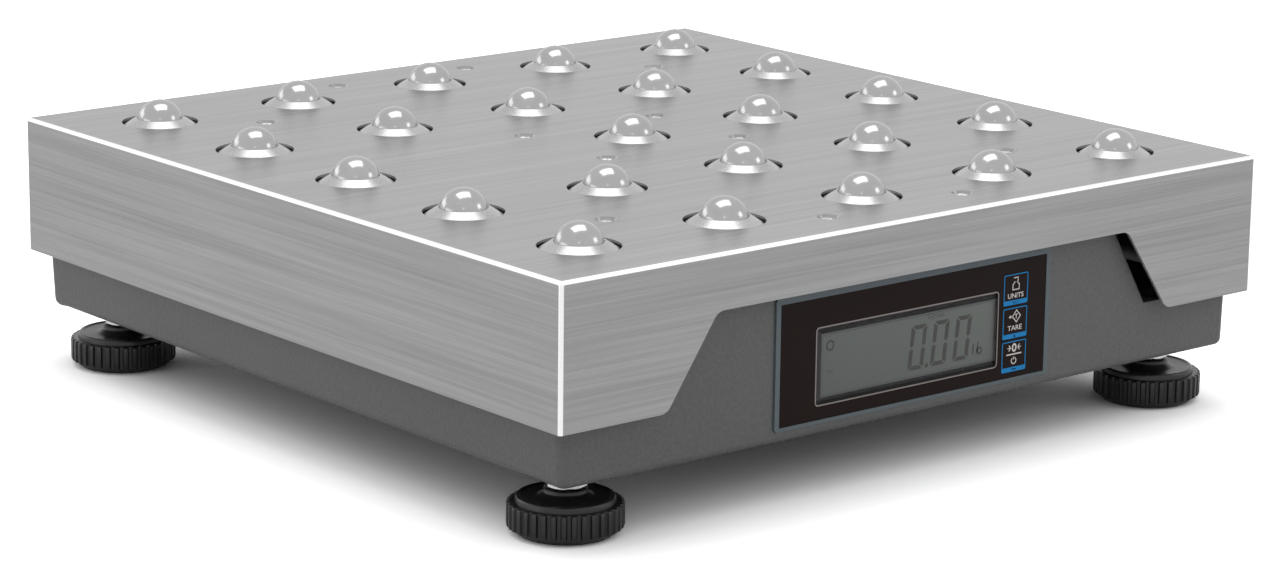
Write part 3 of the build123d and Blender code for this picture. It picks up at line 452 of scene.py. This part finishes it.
def threadedStud(bottom, top):
    t = thread
    profile = ((t["core"], 0.0), (t["crest"], 0.38), (t["crest"], 0.50), (t["core"], 0.88), (t["core"], 1.0))
    turns = math.ceil((top - bottom) / t["pitch"]) + 1
    verts, faces = [], []
    for step in range(turns * t["stepsPerTurn"] + 1):
        angle = 2 * math.pi * step / t["stepsPerTurn"]
        for radius, share in profile:
            height = bottom + t["pitch"] * (step / t["stepsPerTurn"] - 1 + share)
            height = min(max(height, bottom), top)
            radius = min(radius, t["crest"] - t["chamfer"] + top - height)
            verts.append((radius * math.cos(angle), radius * math.sin(angle), height))
    across = len(profile)
    for step in range(turns * t["stepsPerTurn"]):
        for i in range(across - 1):
            here = step * across + i
            faces.append((here, here + across, here + across + 1, here + 1))
    lid = turned([(0.001, top), (t["crest"] - t["chamfer"], top)], t["stepsPerTurn"])
    return joined((verts, faces), lid)


knobShape = turned(knobRows(), knob["ribs"] * knob["stepsPerRib"], knobRadius)
for foot in feet:
    centre = middle(f"foot_knob_{foot}")
    place = (centre.x, centre.y, 0)
    piece = newPiece(f"ribbed_knob_{foot}", knobShape, "blackPlastic", f"knob_{foot}", 38, place)
    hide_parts(f"foot_knob_{foot}")
    low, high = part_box(f"foot_stud_{foot}")
    stud = threadedStud(low.z / mm, high.z / mm)
    piece = newPiece(f"threaded_stud_{foot}", stud, "zinc", f"stud_{foot}", 30, place)
    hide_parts(f"foot_stud_{foot}")
print("feet made:", len(knobShape[1]), "faces in each knob")

nut = {"flats": 14.3, "bore": 4.8, "chamferStart": 0.93, "steps": 96}


def chamferedNut(bottom, top):
    # a hexagon whose corners are turned off at 30 degrees, top and bottom
    verts, faces = [], []
    rings = 6
    start = nut["flats"] / 2 * nut["chamferStart"]
    for step in range(nut["steps"]):
        angle = 2 * math.pi * step / nut["steps"]
        away = (angle + math.pi / 6) % (math.pi / 3) - math.pi / 6
        edge = nut["flats"] / 2 / math.cos(abs(away) - math.pi / 6)
        drop = (edge - start) * math.tan(math.radians(30))
        column = [(nut["bore"], bottom), (start, bottom), (edge, bottom + drop)]
        column += [(edge, top - drop), (start, top), (nut["bore"], top)]
        verts += [(r * math.cos(angle), r * math.sin(angle), z) for r, z in column]
    for step in range(nut["steps"]):
        after = (step + 1) % nut["steps"]
        for ring in range(rings):
            upper = (ring + 1) % rings
            faces.append((step * rings + ring, after * rings + ring, after * rings + upper, step * rings + upper))
    return verts, faces


low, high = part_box("jam_nuts")
oneNut = chamferedNut(low.z / mm, high.z / mm)
nuts = []
for foot in feet:
    centre = middle(f"foot_stud_{foot}")
    nuts.append(moved(oneNut, (centre.x, centre.y, 0)))
piece = newPiece("chamfered_jam_nuts", joined(*nuts), "zinc", "base", 25)
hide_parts("jam_nuts")
print("jam nuts made")


# rivet heads, hammered rough, in the platter's dimples
rivet = {"radius": 3.35, "height": 0.85, "rings": 9, "steps": 30, "rough": 0.17, "shank": 1.6, "tail": 2.7}


def hammeredHead():
    verts, faces = [(0, 0, rivet["height"])], []
    steps, rings = rivet["steps"], rivet["rings"]
    for ring in range(1, rings + 1):
        share = ring / rings
        for step in range(steps):
            angle = 2 * math.pi * (step + 0.5 * (ring % 2)) / steps
            radius = rivet["radius"] * share * (1 + random.uniform(-0.03, 0.03))
            height = rivet["height"] * (1 - share ** 3) + random.uniform(-1, 1) * rivet["rough"] * (1 - share ** 6)
            verts.append((radius * math.cos(angle), radius * math.sin(angle), max(height, 0.02)))
    for step in range(steps):
        faces.append((0, 1 + step, 1 + (step + 1) % steps))
        for ring in range(rings - 1):
            here = 1 + ring * steps
            faces.append((here + step, here + steps + step, here + steps + (step + 1) % steps, here + (step + 1) % steps))
    last = 1 + (rings - 1) * steps
    faces.append(tuple(last + step for step in reversed(range(steps))))
    return verts, faces


def islandPlaces(node):
    # the middle of each separate solid of a node, from its mesh
    bm = bmesh.new()
    bm.from_mesh(cadNodes[node].data)
    bmesh.ops.remove_doubles(bm, verts=bm.verts, dist=1e-6)
    seen, places = set(), []
    for start in bm.verts:
        if start.index in seen:
            continue
        seen.add(start.index)
        island, queue = [], [start]
        while queue:
            vert = queue.pop()
            island.append(vert.co.copy())
            for edge in vert.link_edges:
                other = edge.other_vert(vert)
                if other.index not in seen:
                    seen.add(other.index)
                    queue.append(other)
        corner = [min(co[axis] for co in island) for axis in range(3)]
        far = [max(co[axis] for co in island) for axis in range(3)]
        places.append(tuple((a + b) / 2 / mm for a, b in zip(corner, far)))
    bm.free()
    return sorted(places)


low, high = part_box("platter_rivets")
dimpleFloor = high.z / mm - 0.8
rivetBottom = low.z / mm
heads = []
for x, y, z in islandPlaces("platter_rivets"):
    heads.append(moved(hammeredHead(), (x, y, dimpleFloor)))
    shank = turned([(rivet["shank"], dimpleFloor), (rivet["shank"], rivetBottom + 1.1), (rivet["tail"], rivetBottom + 1.0),
                    (rivet["tail"], rivetBottom + 0.2), (rivet["tail"] - 0.3, rivetBottom), (0.001, rivetBottom)], 24)
    heads.append(moved(shank, (x, y, 0)))
piece = newPiece("hammered_rivets", joined(*heads), "rivetSteel", "platter")
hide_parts("platter_rivets")
print("rivets made:", len(heads) // 2)


# screws with a domed head and a cross recess
crossScrew = {"slotWidth": 0.75, "slotReach": 1.55, "slotDepth": 0.9, "steps": 40}


def crossHeadScrew(headRadius, headHeight, shankRadius, shankLength):
    # the head stands on Z = 0 and the shank goes down from there
    dome = [(headRadius * math.cos(a), headHeight * (0.35 + 0.65 * math.sin(a)))
            for a in [math.radians(90 * s / 8) for s in range(8)]]
    rows = [(0.001, -shankLength), (shankRadius - 0.3, -shankLength), (shankRadius, -shankLength + 0.5), (shankRadius, 0)]
    rows += [(headRadius, 0)] + dome + [(0.001, headHeight)]
    c = crossScrew
    cutters = []
    for halfX, halfY in ((c["slotReach"], c["slotWidth"] / 2), (c["slotWidth"] / 2, c["slotReach"])):
        top, foot = headHeight + 0.5, headHeight - c["slotDepth"]
        corners = [(sx * halfX * k, sy * halfY * k, z) for z, k in ((foot, 0.75), (top, 1.0))
                   for sx, sy in ((-1, -1), (1, -1), (1, 1), (-1, 1))]
        sides = [(0, 3, 2, 1), (4, 5, 6, 7), (0, 1, 5, 4), (1, 2, 6, 5), (2, 3, 7, 6), (3, 0, 4, 7)]
        cutters.append((corners, sides))
    return carved(turned(rows, c["steps"]), cutters)


def carved(shape, cutters):
    # the shape with each cutter's volume taken out
    made = []
    for verts, faces in [shape] + cutters:
        mesh = bpy.data.meshes.new("carving")
        mesh.from_pydata([tuple(vert) for vert in verts], [], faces)
        bm = bmesh.new()
        bm.from_mesh(mesh)
        bmesh.ops.remove_doubles(bm, verts=bm.verts, dist=0.002)
        bmesh.ops.holes_fill(bm, edges=bm.edges)
        bmesh.ops.recalc_face_normals(bm, faces=bm.faces)
        bm.to_mesh(mesh)
        bm.free()
        holder = bpy.data.objects.new("carving", mesh)
        bpy.context.scene.collection.objects.link(holder)
        made.append(holder)
    for cutter in made[1:]:
        cut = made[0].modifiers.new("cut", "BOOLEAN")
        cut.operation = "DIFFERENCE"
        cut.solver = "EXACT"
        cut.object = cutter
    bpy.context.view_layer.update()
    result = bpy.data.meshes.new_from_object(made[0].evaluated_get(bpy.context.evaluated_depsgraph_get()))
    outcome = [tuple(vert.co) for vert in result.vertices], [tuple(face.vertices) for face in result.polygons]
    for holder in made:
        bpy.data.objects.remove(holder)
    return outcome


boardScrew = {"headRadius": 2.8, "headHeight": 2.1, "shankRadius": 1.25, "length": 4.1}
low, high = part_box("main_board")
boardTop = high.z / mm
screw = crossHeadScrew(boardScrew["headRadius"], boardScrew["headHeight"], boardScrew["shankRadius"], boardScrew["length"])
screws = [moved(screw, (x, y, boardTop)) for x, y, z in islandPlaces("main_board_screws")]
piece = newPiece("cross_head_board_screws", joined(*screws), "zinc", "base", 35)
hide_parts("main_board_screws")

plateScrew = {"headRadius": 2.8, "headHeight": 1.1, "shankRadius": 1.25, "length": 5.5}
low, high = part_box("rear_plate")
plateBack = high.y / mm
screw = crossHeadScrew(plateScrew["headRadius"], plateScrew["headHeight"], plateScrew["shankRadius"], plateScrew["length"])
screws = [moved(screw, (x, -z, plateBack)) for x, y, z in islandPlaces("rear_plate_screws")]
piece = newPiece("cross_head_plate_screws", joined(*screws), "zinc", "base", 35, stands="Y")
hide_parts("rear_plate_screws")
print("cross-head screws made")


# thin shapes printed on planes that face the front, from outlines of (x, z)

def plate(outlines, front, thickness):
    verts, faces = [], []
    for outline in outlines:
        base, count = len(verts), len(outline)
        for depth in (front, front + thickness):
            verts += [(x, depth, z) for x, z in outline]
        faces.append(tuple(base + i for i in range(count)))
        faces.append(tuple(base + count + i for i in reversed(range(count))))
        faces += [(base + i, base + (i + 1) % count, base + count + (i + 1) % count, base + count + i) for i in range(count)]
    return verts, faces


def strokeSides(points, width, closed):
    # the two sides of a line, mitred at its corners
    count = len(points)
    lefts, rights = [], []
    for i, point in enumerate(points):
        here = Vector(point)
        before = Vector(points[i - 1]) if closed or i > 0 else None
        after = Vector(points[(i + 1) % count]) if closed or i < count - 1 else None
        one = (here - before).normalized() if before is not None else None
        two = (after - here).normalized() if after is not None else None
        one, two = one or two, two or one
        across = (Vector((-one.y, one.x)) + Vector((-two.y, two.x))).normalized()
        reach = width / 2 / max(across.dot(Vector((-one.y, one.x))), 0.4)
        lefts.append(tuple(here + across * reach))
        rights.append(tuple(here - across * reach))
    return lefts, rights


def line(points, width, front, thickness, closed=False):
    count = len(points)
    verts = []
    for depth in (front, front + thickness):
        for side in strokeSides(points, width, closed):
            verts += [(x, depth, z) for x, z in side]
    faces = []
    for i in range(count if closed else count - 1):
        j = (i + 1) % count
        near = (i, j, count + j, count + i)
        far = tuple(v + 2 * count for v in near)
        faces += [near, far[::-1], (near[0], far[0], far[1], near[1]), (near[3], near[2], far[2], far[3])]
    if not closed:
        last = count - 1
        faces += [(0, count, 3 * count, 2 * count), (last, 2 * count + last, 3 * count + last, count + last)]
    return verts, faces


def roundedBox(centreX, centreZ, width, height, radius, steps=4):
    points = []
    for signX, signZ, start in ((1, 1, 0), (-1, 1, 90), (-1, -1, 180), (1, -1, 270)):
        for step in range(steps + 1):
            angle = math.radians(start + 90 * step / steps)
            points.append((centreX + signX * (width / 2 - radius) + radius * math.cos(angle),
                           centreZ + signZ * (height / 2 - radius) + radius * math.sin(angle)))
    return points


def arc(centreX, centreZ, radius, start, end, steps=20, tall=1.0):
    angles = [math.radians(start + (end - start) * s / steps) for s in range(steps + 1)]
    return [(centreX + radius * math.cos(a), centreZ + radius * tall * math.sin(a)) for a in angles]


def ring(centreX, centreZ, radius, steps=24, tall=1.0):
    return arc(centreX, centreZ, radius, 0, 360 * (steps - 1) / steps, steps - 1, tall)


def lettering(words, centreX, centreZ, width, height, front, thickness):
    # words in the built-in font, fitted to a width and a height
    curve = bpy.data.curves.new("lettering", "FONT")
    curve.body = words
    curve.extrude = 0.5
    curve.offset = 0.012
    curve.resolution_u = 4
    holder = bpy.data.objects.new("lettering", curve)
    bpy.context.scene.collection.objects.link(holder)
    bpy.context.view_layer.update()
    mesh = bpy.data.meshes.new_from_object(holder.evaluated_get(bpy.context.evaluated_depsgraph_get()))
    bpy.data.objects.remove(holder)
    points = [v.co.copy() for v in mesh.vertices]
    lowX, highX = min(p.x for p in points), max(p.x for p in points)
    lowY, highY = min(p.y for p in points), max(p.y for p in points)
    verts = [(centreX + ((p.x - lowX) / (highX - lowX) - 0.5) * width,
              front + (0 if p.z > 0 else thickness),
              centreZ + ((p.y - lowY) / (highY - lowY) - 0.5) * height) for p in points]
    return verts, [tuple(face.vertices) for face in mesh.polygons]


# signs of the display, just in front of its glass
lowGlass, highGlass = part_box("lcd_module")
digits = {
    "plane": lowGlass.y / mm - 0.04, "thickness": 0.03,
    "lefts": (-4.35, 7.35, 19.1),
    "bottom": 40.9, "height": 17.4, "width": 8.1, "barWide": 1.95, "barHigh": 1.65, "gap": 0.2, "slant": 0.112,
}


def zeroOutlines(left):
    # six bars with pointed ends, leaning to the right
    d = digits
    top, middleZ = d["height"], d["height"] / 2
    w, bw, bh, g = d["width"], d["barWide"], d["barHigh"], d["gap"]
    shapes = [
        [(g + 0.3, top), (w - g - 0.3, top), (w - bw - g, top - bh), (bw + g, top - bh)],
        [(g + 0.3, 0), (bw + g, bh), (w - bw - g, bh), (w - g - 0.3, 0)],
    ]
    for outer, inner in ((0.0, bw), (w, w - bw)):
        centre = (outer + inner) / 2
        tip, shoulder = g * 1.2, g * 1.2 + bw * 0.4
        shapes.append([(outer, top - g - 0.35), (outer, middleZ + shoulder), (centre, middleZ + tip),
                       (inner, middleZ + shoulder), (inner, top - bh - g)])
        shapes.append([(outer, g + 0.35), (inner, bh + g), (inner, middleZ - shoulder),
                       (centre, middleZ - tip), (outer, middleZ - shoulder)])
    return [[(left + x + d["slant"] * z, d["bottom"] + z) for x, z in shape] for shape in shapes]


front, thick = digits["plane"], digits["thickness"]
outlines = [shape for left in digits["lefts"] for shape in zeroOutlines(left)]
outlines.append([(4.95, 40.9), (6.35, 40.9), (6.5, 42.4), (5.1, 42.4)])
signs = joined(
    plate(outlines, front, thick),
    line(ring(-43.95, 57.3, 1.75), 0.85, front, thick, closed=True),
    line([(29.9, 42.2), (30.35, 46.0)], 0.75, front, thick),
    line([(32.75, 46.6), (32.3, 42.6)], 0.7, front, thick),
    line(ring(33.45, 43.1, 1.2, 18), 0.75, front, thick, closed=True),
)
newPiece("display_signs", signs, "lcdInk", "base")
words = joined(lettering("Gross", 10.0, 60.75, 8.6, 2.3, front, thick), lettering("max", -43.85, 47.25, 3.5, 1.2, front, thick))
newPiece("display_words", words, "lcdInkFaint", "base")
edge = {"inset": 0.75, "width": 0.3, "corner": 1.2}
glassX, glassZ = -3.7, 50.1
glassEdge = roundedBox(glassX, glassZ, 89.6 - edge["inset"], 24.4 - edge["inset"] * 1.6, edge["corner"])
newPiece("display_edge_line", line(glassEdge, edge["width"], front, thick, closed=True), "lcdInkFaint", "base")

# signs on the keys, and a painted highlight round the window that stands for the reflection on its cut edge, on the
# overlay
lowLens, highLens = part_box("overlay_panel")
panel = {
    "plane": lowLens.y / mm - 0.03, "thickness": 0.03,
    "lineWidth": 0.5, "window": (-5.4, 50.5, 94.2, 30.4), "windowCorner": 1.4,
    "keyLine": 0.4, "strip": 1.85, "keyCorner": 0.5, "stroke": 0.42,
}
front, thick = panel["plane"], panel["thickness"]
x, z, width, height = panel["window"]
windowLine = roundedBox(x, z, width - panel["lineWidth"], height - panel["lineWidth"], panel["windowCorner"])
newPiece("window_edge_highlight", line(windowLine, panel["lineWidth"], front, thick, closed=True), "windowEdgeHighlight", "base")


def unitsSign(x, z, pen):
    # a weight with a ring on top
    body = [(x - 1.7, z - 0.1), (x - 1.7, z + 1.9), (x - 0.75, z + 2.75), (x + 0.75, z + 2.75), (x + 1.7, z + 1.9), (x + 1.7, z - 0.1)]
    return joined(
        line(body, pen, front, thick, closed=True),
        line(arc(x, z + 3.65, 1.05, -150, 330 - 0.01 - 300, 14, 0.85), pen, front, thick),
        line([(x - 1.25, z + 4.6), (x + 1.25, z + 4.6)], pen, front, thick),
    )


def tareSign(x, z, pen):
    # a diamond with a T in it and an arrow at its left
    return joined(
        line([(x + 0.75, z + 4.95), (x + 2.85, z + 2.55), (x + 0.75, z + 0.15), (x - 1.35, z + 2.55)], pen, front, thick, closed=True),
        plate([[(x - 3.4, z + 2.55), (x - 2.3, z + 3.3), (x - 2.3, z + 1.8)]], front, thick),
        plate([[(x - 0.7, z + 2.55), (x - 1.7, z + 3.2), (x - 1.7, z + 1.9)]], front, thick),
        line([(x - 2.4, z + 2.55), (x - 1.6, z + 2.55)], pen, front, thick),
        line([(x - 0.05, z + 3.2), (x + 1.35, z + 3.2)], pen * 0.85, front, thick),
        line([(x + 0.65, z + 3.1), (x + 0.65, z + 1.6)], pen * 0.85, front, thick),
    )


def zeroSign(x, z, pen):
    # a nought between two arrowheads, a line, and the power sign
    return joined(
        line([(x - 2.75, z + 4.55), (x - 1.85, z + 3.4), (x - 2.75, z + 2.25)], pen, front, thick),
        line([(x - 3.5, z + 3.4), (x - 2.2, z + 3.4)], pen * 0.8, front, thick),
        line([(x + 2.95, z + 4.55), (x + 2.05, z + 3.4), (x + 2.95, z + 2.25)], pen, front, thick),
        line([(x + 3.7, z + 3.4), (x + 2.4, z + 3.4)], pen * 0.8, front, thick),
        line(ring(x + 0.1, z + 3.4, 0.92, 24, 1.5), 0.72, front, thick, closed=True),
        line([(x - 4.0, z + 0.85), (x + 4.1, z + 0.85)], 0.55, front, thick),
        line(arc(x + 0.05, z - 1.75, 1.25, 122, 418, 22), pen, front, thick),
        line([(x + 0.05, z - 1.35), (x + 0.05, z - 0.15)], pen, front, thick),
    )


keySigns = {"units_key": (unitsSign, "UNITS", 8.4, -2.45), "tare_key": (tareSign, "TARE", 7.6, -1.95), "zero_key": (zeroSign, None, 0, 0)}
for key in keys:
    low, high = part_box(key)
    centre = middle(key)
    w, h = (high.x - low.x) / mm - 0.8, (high.z - low.z) / mm - 0.8      # the cap, without its flange
    x, z, pen = centre.x, centre.z, panel["keyLine"]
    foot = z - h / 2
    border = line(roundedBox(x, z, w - pen, h - pen, panel["keyCorner"]), pen, front, thick, closed=True)
    half = w / 2 - 0.1
    strip = plate([[(x - half, foot + 0.1), (x + half, foot + 0.1), (x + half, foot + panel["strip"]), (x - half, foot + panel["strip"])]],
                  front - 0.002, thick)
    newPiece(f"{key}_border", joined(border, strip), "bluePrint", key)
    sign, word, wordWidth, wordShift = keySigns[key]
    shape = sign(x, z, panel["stroke"])
    if word:
        shape = joined(shape, lettering(word, x, z + wordShift, wordWidth, 1.95, front, thick))
    newPiece(f"{key}_sign", shape, "whitePrint", key)
    markZ, markFront = foot + panel["strip"] / 2, front - 0.004
    marks = {
        "units_key": lambda: lettering("ESC", x + 0.3, markZ, 3.4, 1.1, markFront, thick),
        "tare_key": lambda: plate([[(x - 0.75, markZ - 0.6), (x + 0.75, markZ - 0.6), (x, markZ + 0.7)]], markFront, thick),
        "zero_key": lambda: plate([[(x - 1.5, markZ - 0.25), (x + 1.5, markZ - 0.25), (x + 1.5, markZ + 0.3), (x - 0.9, markZ + 0.3)]],
                                  markFront, thick),
    }
    newPiece(f"{key}_mark", marks[key](), "navyPrint", key)
print("display and key signs made")


# parts on the main board: chips with legs, cans and headers
boardParts = {
    "chips": ((-28, 4, 14, 14, 1.6, 12), (4, -8, 10, 7.5, 1.8, 8), (26, 10, 6, 5, 1.5, 4)),      # x, y, width, depth, height, legs
    "cans": ((-8, 16, 4.0, 9.5), (8, 17, 3.2, 7.5), (40, 14, 5.0, 11.0)),                        # x, y, radius, height
    "headers": ((-38, -19, 15.0, 5.8, 6.5, 6), (22, -20, 10.0, 5.8, 6.5, 4)),                    # x, y, width, depth, height, pins
}


def bevelledBlock(width, depth, height, bevel):
    inner = [(width / 2 - bevel, depth / 2 - bevel), (width / 2, depth / 2)]
    verts, faces = [], []
    levels = ((inner[1], 0.0), (inner[1], height - bevel), (inner[0], height))
    for (halfX, halfY), z in levels:
        verts += [(sx * halfX, sy * halfY, z) for sx, sy in ((-1, -1), (1, -1), (1, 1), (-1, 1))]
    faces += [(3, 2, 1, 0), (8, 9, 10, 11)]
    for level in (0, 4):
        faces += [(level + i, level + (i + 1) % 4, level + 4 + (i + 1) % 4, level + 4 + i) for i in range(4)]
    return verts, faces


centre = middle("main_board")
blackShapes, metalShapes = [], []
for x, y, width, depth, height, legs in boardParts["chips"]:
    at = (centre.x + x, centre.y + y, boardTop + 0.15)
    blackShapes.append(moved(bevelledBlock(width, depth, height, 0.25), at))
    pitch = (width - 1.5) / (legs - 1)
    for leg in range(legs):
        for side in (-1, 1):
            place = (at[0] + (leg - (legs - 1) / 2) * pitch, at[1] + side * (depth / 2 + 0.5), boardTop)
            metalShapes.append(moved(bevelledBlock(pitch * 0.5, 1.3, 0.6, 0.15), place))
for x, y, radius, height in boardParts["cans"]:
    at = (centre.x + x, centre.y + y, boardTop)
    can = rounded([(radius - 0.3, 0.5), (radius, 0.9), (radius, 1.6), (radius - 0.25, 2.0), (radius, 2.4),
                   (radius, height - 0.4), (radius - 0.5, height), (0.001, height)], (0, 0.2, 0.2, 0.2, 0.2, 0.3, 0.2, 0), 3)
    metalShapes.append(moved(turned(can, 32), at))
    blackShapes.append(moved(turned([(radius + 0.25, 0), (radius + 0.25, 0.6), (radius - 0.3, 0.8)], 32), at))
for x, y, width, depth, height, pins in boardParts["headers"]:
    at = (centre.x + x, centre.y + y, boardTop)
    walls = ((0, depth / 2 - 0.4, width, 0.8), (0, 0.4 - depth / 2, width, 0.8), (width / 2 - 0.4, 0, 0.8, depth - 1.6), (0.4 - width / 2, 0, 0.8, depth - 1.6))
    for wallX, wallY, wallWidth, wallDepth in walls:
        blackShapes.append(moved(bevelledBlock(wallWidth, wallDepth, height, 0.15), (at[0] + wallX, at[1] + wallY, at[2])))
    blackShapes.append(moved(bevelledBlock(width - 1.6, depth - 1.6, 1.2, 0.1), at))
    for pin in range(pins):
        place = (at[0] + (pin - (pins - 1) / 2) * (width - 4) / (pins - 1), at[1], at[2] + 1.2)
        metalShapes.append(moved(bevelledBlock(0.6, 0.6, height - 2.2, 0.15), place))
newPiece("board_chips_and_headers", joined(*blackShapes), "blackPlastic", "base", 30)
newPiece("board_legs_and_cans", joined(*metalShapes), "zinc", "base", 30)
print("parts of the main board made:", len(blackShapes) + len(metalShapes))

# contacts of the data port and the power jack's pin
contact = {"count": 8, "pitch": 1.16, "width": 0.5, "thick": 0.25, "rise": 3.1, "reach": 10.0}
low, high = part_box("data_port")
portX, portZ = middle("data_port").x, middle("data_port").z
mouth, ceiling = high.y / mm - 0.6, portZ + 4.0
springs = []
for n in range(contact["count"]):
    x = portX + (n - (contact["count"] - 1) / 2) * contact["pitch"]
    run = [(0.0, 0.0), (-1.2, -0.15), (-2.2, -0.6), (-contact["reach"], -contact["rise"])]
    verts, faces = [], []
    for y, z in run:
        for side in (-1, 1):
            verts += [(x + side * contact["width"] / 2, mouth + y, ceiling + z), (x + side * contact["width"] / 2, mouth + y, ceiling + z - contact["thick"])]
    for i in range(len(run) - 1):
        a, b = i * 4, i * 4 + 4
        faces += [(a, a + 2, b + 2, b), (a + 1, b + 1, b + 3, a + 3), (a, b, b + 1, a + 1), (a + 2, a + 3, b + 3, b + 2)]
    last = (len(run) - 1) * 4
    faces += [(0, 1, 3, 2), (last, last + 2, last + 3, last + 1)]
    springs.append((verts, faces))
newPiece("port_contacts", joined(*springs), "goldContact", "base")

jackPin = {"radius": 1.06, "length": 9.4}
jack = middle("power_jack")
low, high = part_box("power_jack")
pinBack = high.y / mm - 10.0
pinRows = rounded([(jackPin["radius"], 0), (jackPin["radius"], jackPin["length"] - 0.9), (0.4, jackPin["length"]), (0.001, jackPin["length"])],
                  (0, 0.5, 0.2, 0), 4)
newPiece("jack_pin_sleeve", turned(pinRows, 28), "zinc", "base", 40, (jack.x, pinBack, jack.z), "Y")
print("contacts made")


# bubble level: liquid under a dome, its ring and its bubble
level = {"radius": 6.9, "depth": 1.15, "ring": 3.2, "ringWidth": 0.35, "bubble": 2.5, "shift": (0.35, -0.2)}
centre = middle("bubble_level")
low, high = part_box("bubble_level")
levelTop = high.z / mm
dish = levelTop - level["depth"]
domeRows = [(level["radius"] * math.cos(math.radians(a)), 0.25 + 0.8 * math.sin(math.radians(a))) for a in range(0, 90, 9)]
newPiece("level_liquid_dome", turned([(level["radius"], 0.0)] + domeRows + [(0.001, 1.05)], 48), "levelLiquid", "base", 40,
         (centre.x, centre.y, dish))
outer, inner = level["ring"] + level["ringWidth"], level["ring"]
ringRows = [(inner, 0.0), (inner, 0.06), (outer, 0.06), (outer, 0.0), (inner, 0.0)]
newPiece("level_ring", turned(ringRows, 48), "blackPlastic", "base", 30, (centre.x, centre.y, dish + 0.99))
bubbleRows = [(level["bubble"] * math.cos(math.radians(a)), 0.10 * math.sin(math.radians(a))) for a in range(0, 90, 15)]
bubbleRows = [(level["bubble"], -0.05)] + bubbleRows + [(0.001, 0.10)]
newPiece("level_bubble", turned(bubbleRows, 40), "whitePrint", "base", 40,
         (centre.x + level["shift"][0], centre.y + level["shift"][1], dish + 1.0))
print("bubble level made")


# camera at the photograph's place
view = {
    "place": (-1.02655, -1.24573, 0.43850),
    "yaw": 0.6916285, "pitch": -1.3284631, "roll": -0.0118584,
    "lens": 113.888,    # on a 36 mm sensor
}
cameraData = bpy.data.cameras.new("camera")
cameraData.lens = view["lens"]
cameraData.sensor_width = 36
cameraData.clip_start = 0.01
camera = bpy.data.objects.new("camera", cameraData)
bpy.context.scene.collection.objects.link(camera)
camera.matrix_world = (Matrix.Translation(view["place"]) @ Matrix.Rotation(-view["yaw"], 4, "Z")
                       @ Matrix.Rotation(-view["pitch"], 4, "X") @ Matrix.Rotation(-view["roll"], 4, "Z"))
bpy.context.scene.camera = camera
bpy.context.scene.view_settings.view_transform = "Standard"

# a sky that is lighter overhead lights the object; the eye and metal see white
studio = {
    "skyFoot": 0.30, "skyTop": 1.15,
    "floorTone": 0.60,       # for the light that the floor throws back
    "floorSeen": 1.55,       # for the eye
    "floorMirrored": 0.90,   # in metal and glass
    "floorSize": 8.0,
}


def raysSeen(tree):
    rays = addNode(tree, "LightPath")
    mirrored = math2(tree, "MAXIMUM", rays.outputs["Is Glossy Ray"], rays.outputs["Is Transmission Ray"])
    return rays.outputs["Is Camera Ray"], mirrored


world = bpy.data.worlds.new("studio")
world.use_nodes = True
bpy.context.scene.world = world
tree = world.node_tree
tree.nodes.clear()
eye, mirrored = raysSeen(tree)
up = addNode(tree, "SeparateXYZ", {0: addNode(tree, "TexCoord").outputs["Generated"]}).outputs[2]
strength = spread(tree, math2(tree, "POWER", math2(tree, "MAXIMUM", up, 0.0), 1.5), 0.0, 1.0, studio["skyFoot"], studio["skyTop"])
lit = addNode(tree, "Background", {"Color": (0.99, 0.99, 1.0, 1), "Strength": strength})
white = addNode(tree, "Background", {"Color": (1, 1, 1, 1), "Strength": 1.0})
mixed = addNode(tree, "MixShader", {0: math2(tree, "MAXIMUM", eye, mirrored), 1: lit.outputs[0], 2: white.outputs[0]})
tree.links.new(mixed.outputs[0], addNode(tree, "OutputWorld").inputs[0])

half = studio["floorSize"] / 2
floorMesh = bpy.data.meshes.new("floor")
floorMesh.from_pydata([(-half, -half, 0), (half, -half, 0), (half, half, 0), (-half, half, 0)], [], [(0, 1, 2, 3)])
floor = bpy.data.objects.new("floor", floorMesh)
bpy.context.scene.collection.objects.link(floor)
floorMaterial = bpy.data.materials.new("pale_floor")
floorMaterial.use_nodes = True
tree = floorMaterial.node_tree
tree.nodes.clear()
eye, mirrored = raysSeen(tree)
tone = spread(tree, mirrored, 0.0, 1.0, studio["floorTone"], studio["floorMirrored"])
tone = addNode(tree, "Mix", {0: eye, 2: tone, 3: studio["floorSeen"]}).outputs[0]
colour = addNode(tree, "CombineColor", {0: tone, 1: tone, 2: tone}).outputs[0]
surface = addNode(tree, "BsdfDiffuse", {"Color": colour}).outputs[0]
tree.links.new(surface, addNode(tree, "OutputMaterial").inputs[0])
floorMesh.materials.append(floorMaterial)

lamps = {
    "overhead": {"place": (0.05, 0.15, 1.7), "size": (1.3, 1.0), "power": 9.0},
    "leftBox": {"place": (-1.68, 0.50, 0.26), "size": (1.1, 0.5), "power": 1.6},
    "rightBox": {"place": (1.06, -1.14, 0.74), "size": (0.55, 0.45), "power": 1.2},
    "frontBox": {"place": (-1.02, -1.23, 0.90), "size": (0.20, 0.16), "power": 0.12},
    "backBox": {"place": (-0.75, 1.60, 0.62), "size": (1.2, 0.5), "power": 2.0},
}
target = Vector((0, 0, 0.07))
for lampName, lamp in lamps.items():
    data = bpy.data.lights.new(lampName, "AREA")
    data.shape = "RECTANGLE"
    data.size, data.size_y = lamp["size"]
    data.energy = lamp["power"]
    made = bpy.data.objects.new(lampName, data)
    bpy.context.scene.collection.objects.link(made)
    made.location = lamp["place"]
    made.rotation_euler = (target - Vector(lamp["place"])).to_track_quat("-Z", "Y").to_euler()
    made.visible_camera = False
print("camera, floor and", len(lamps), "lamps placed")
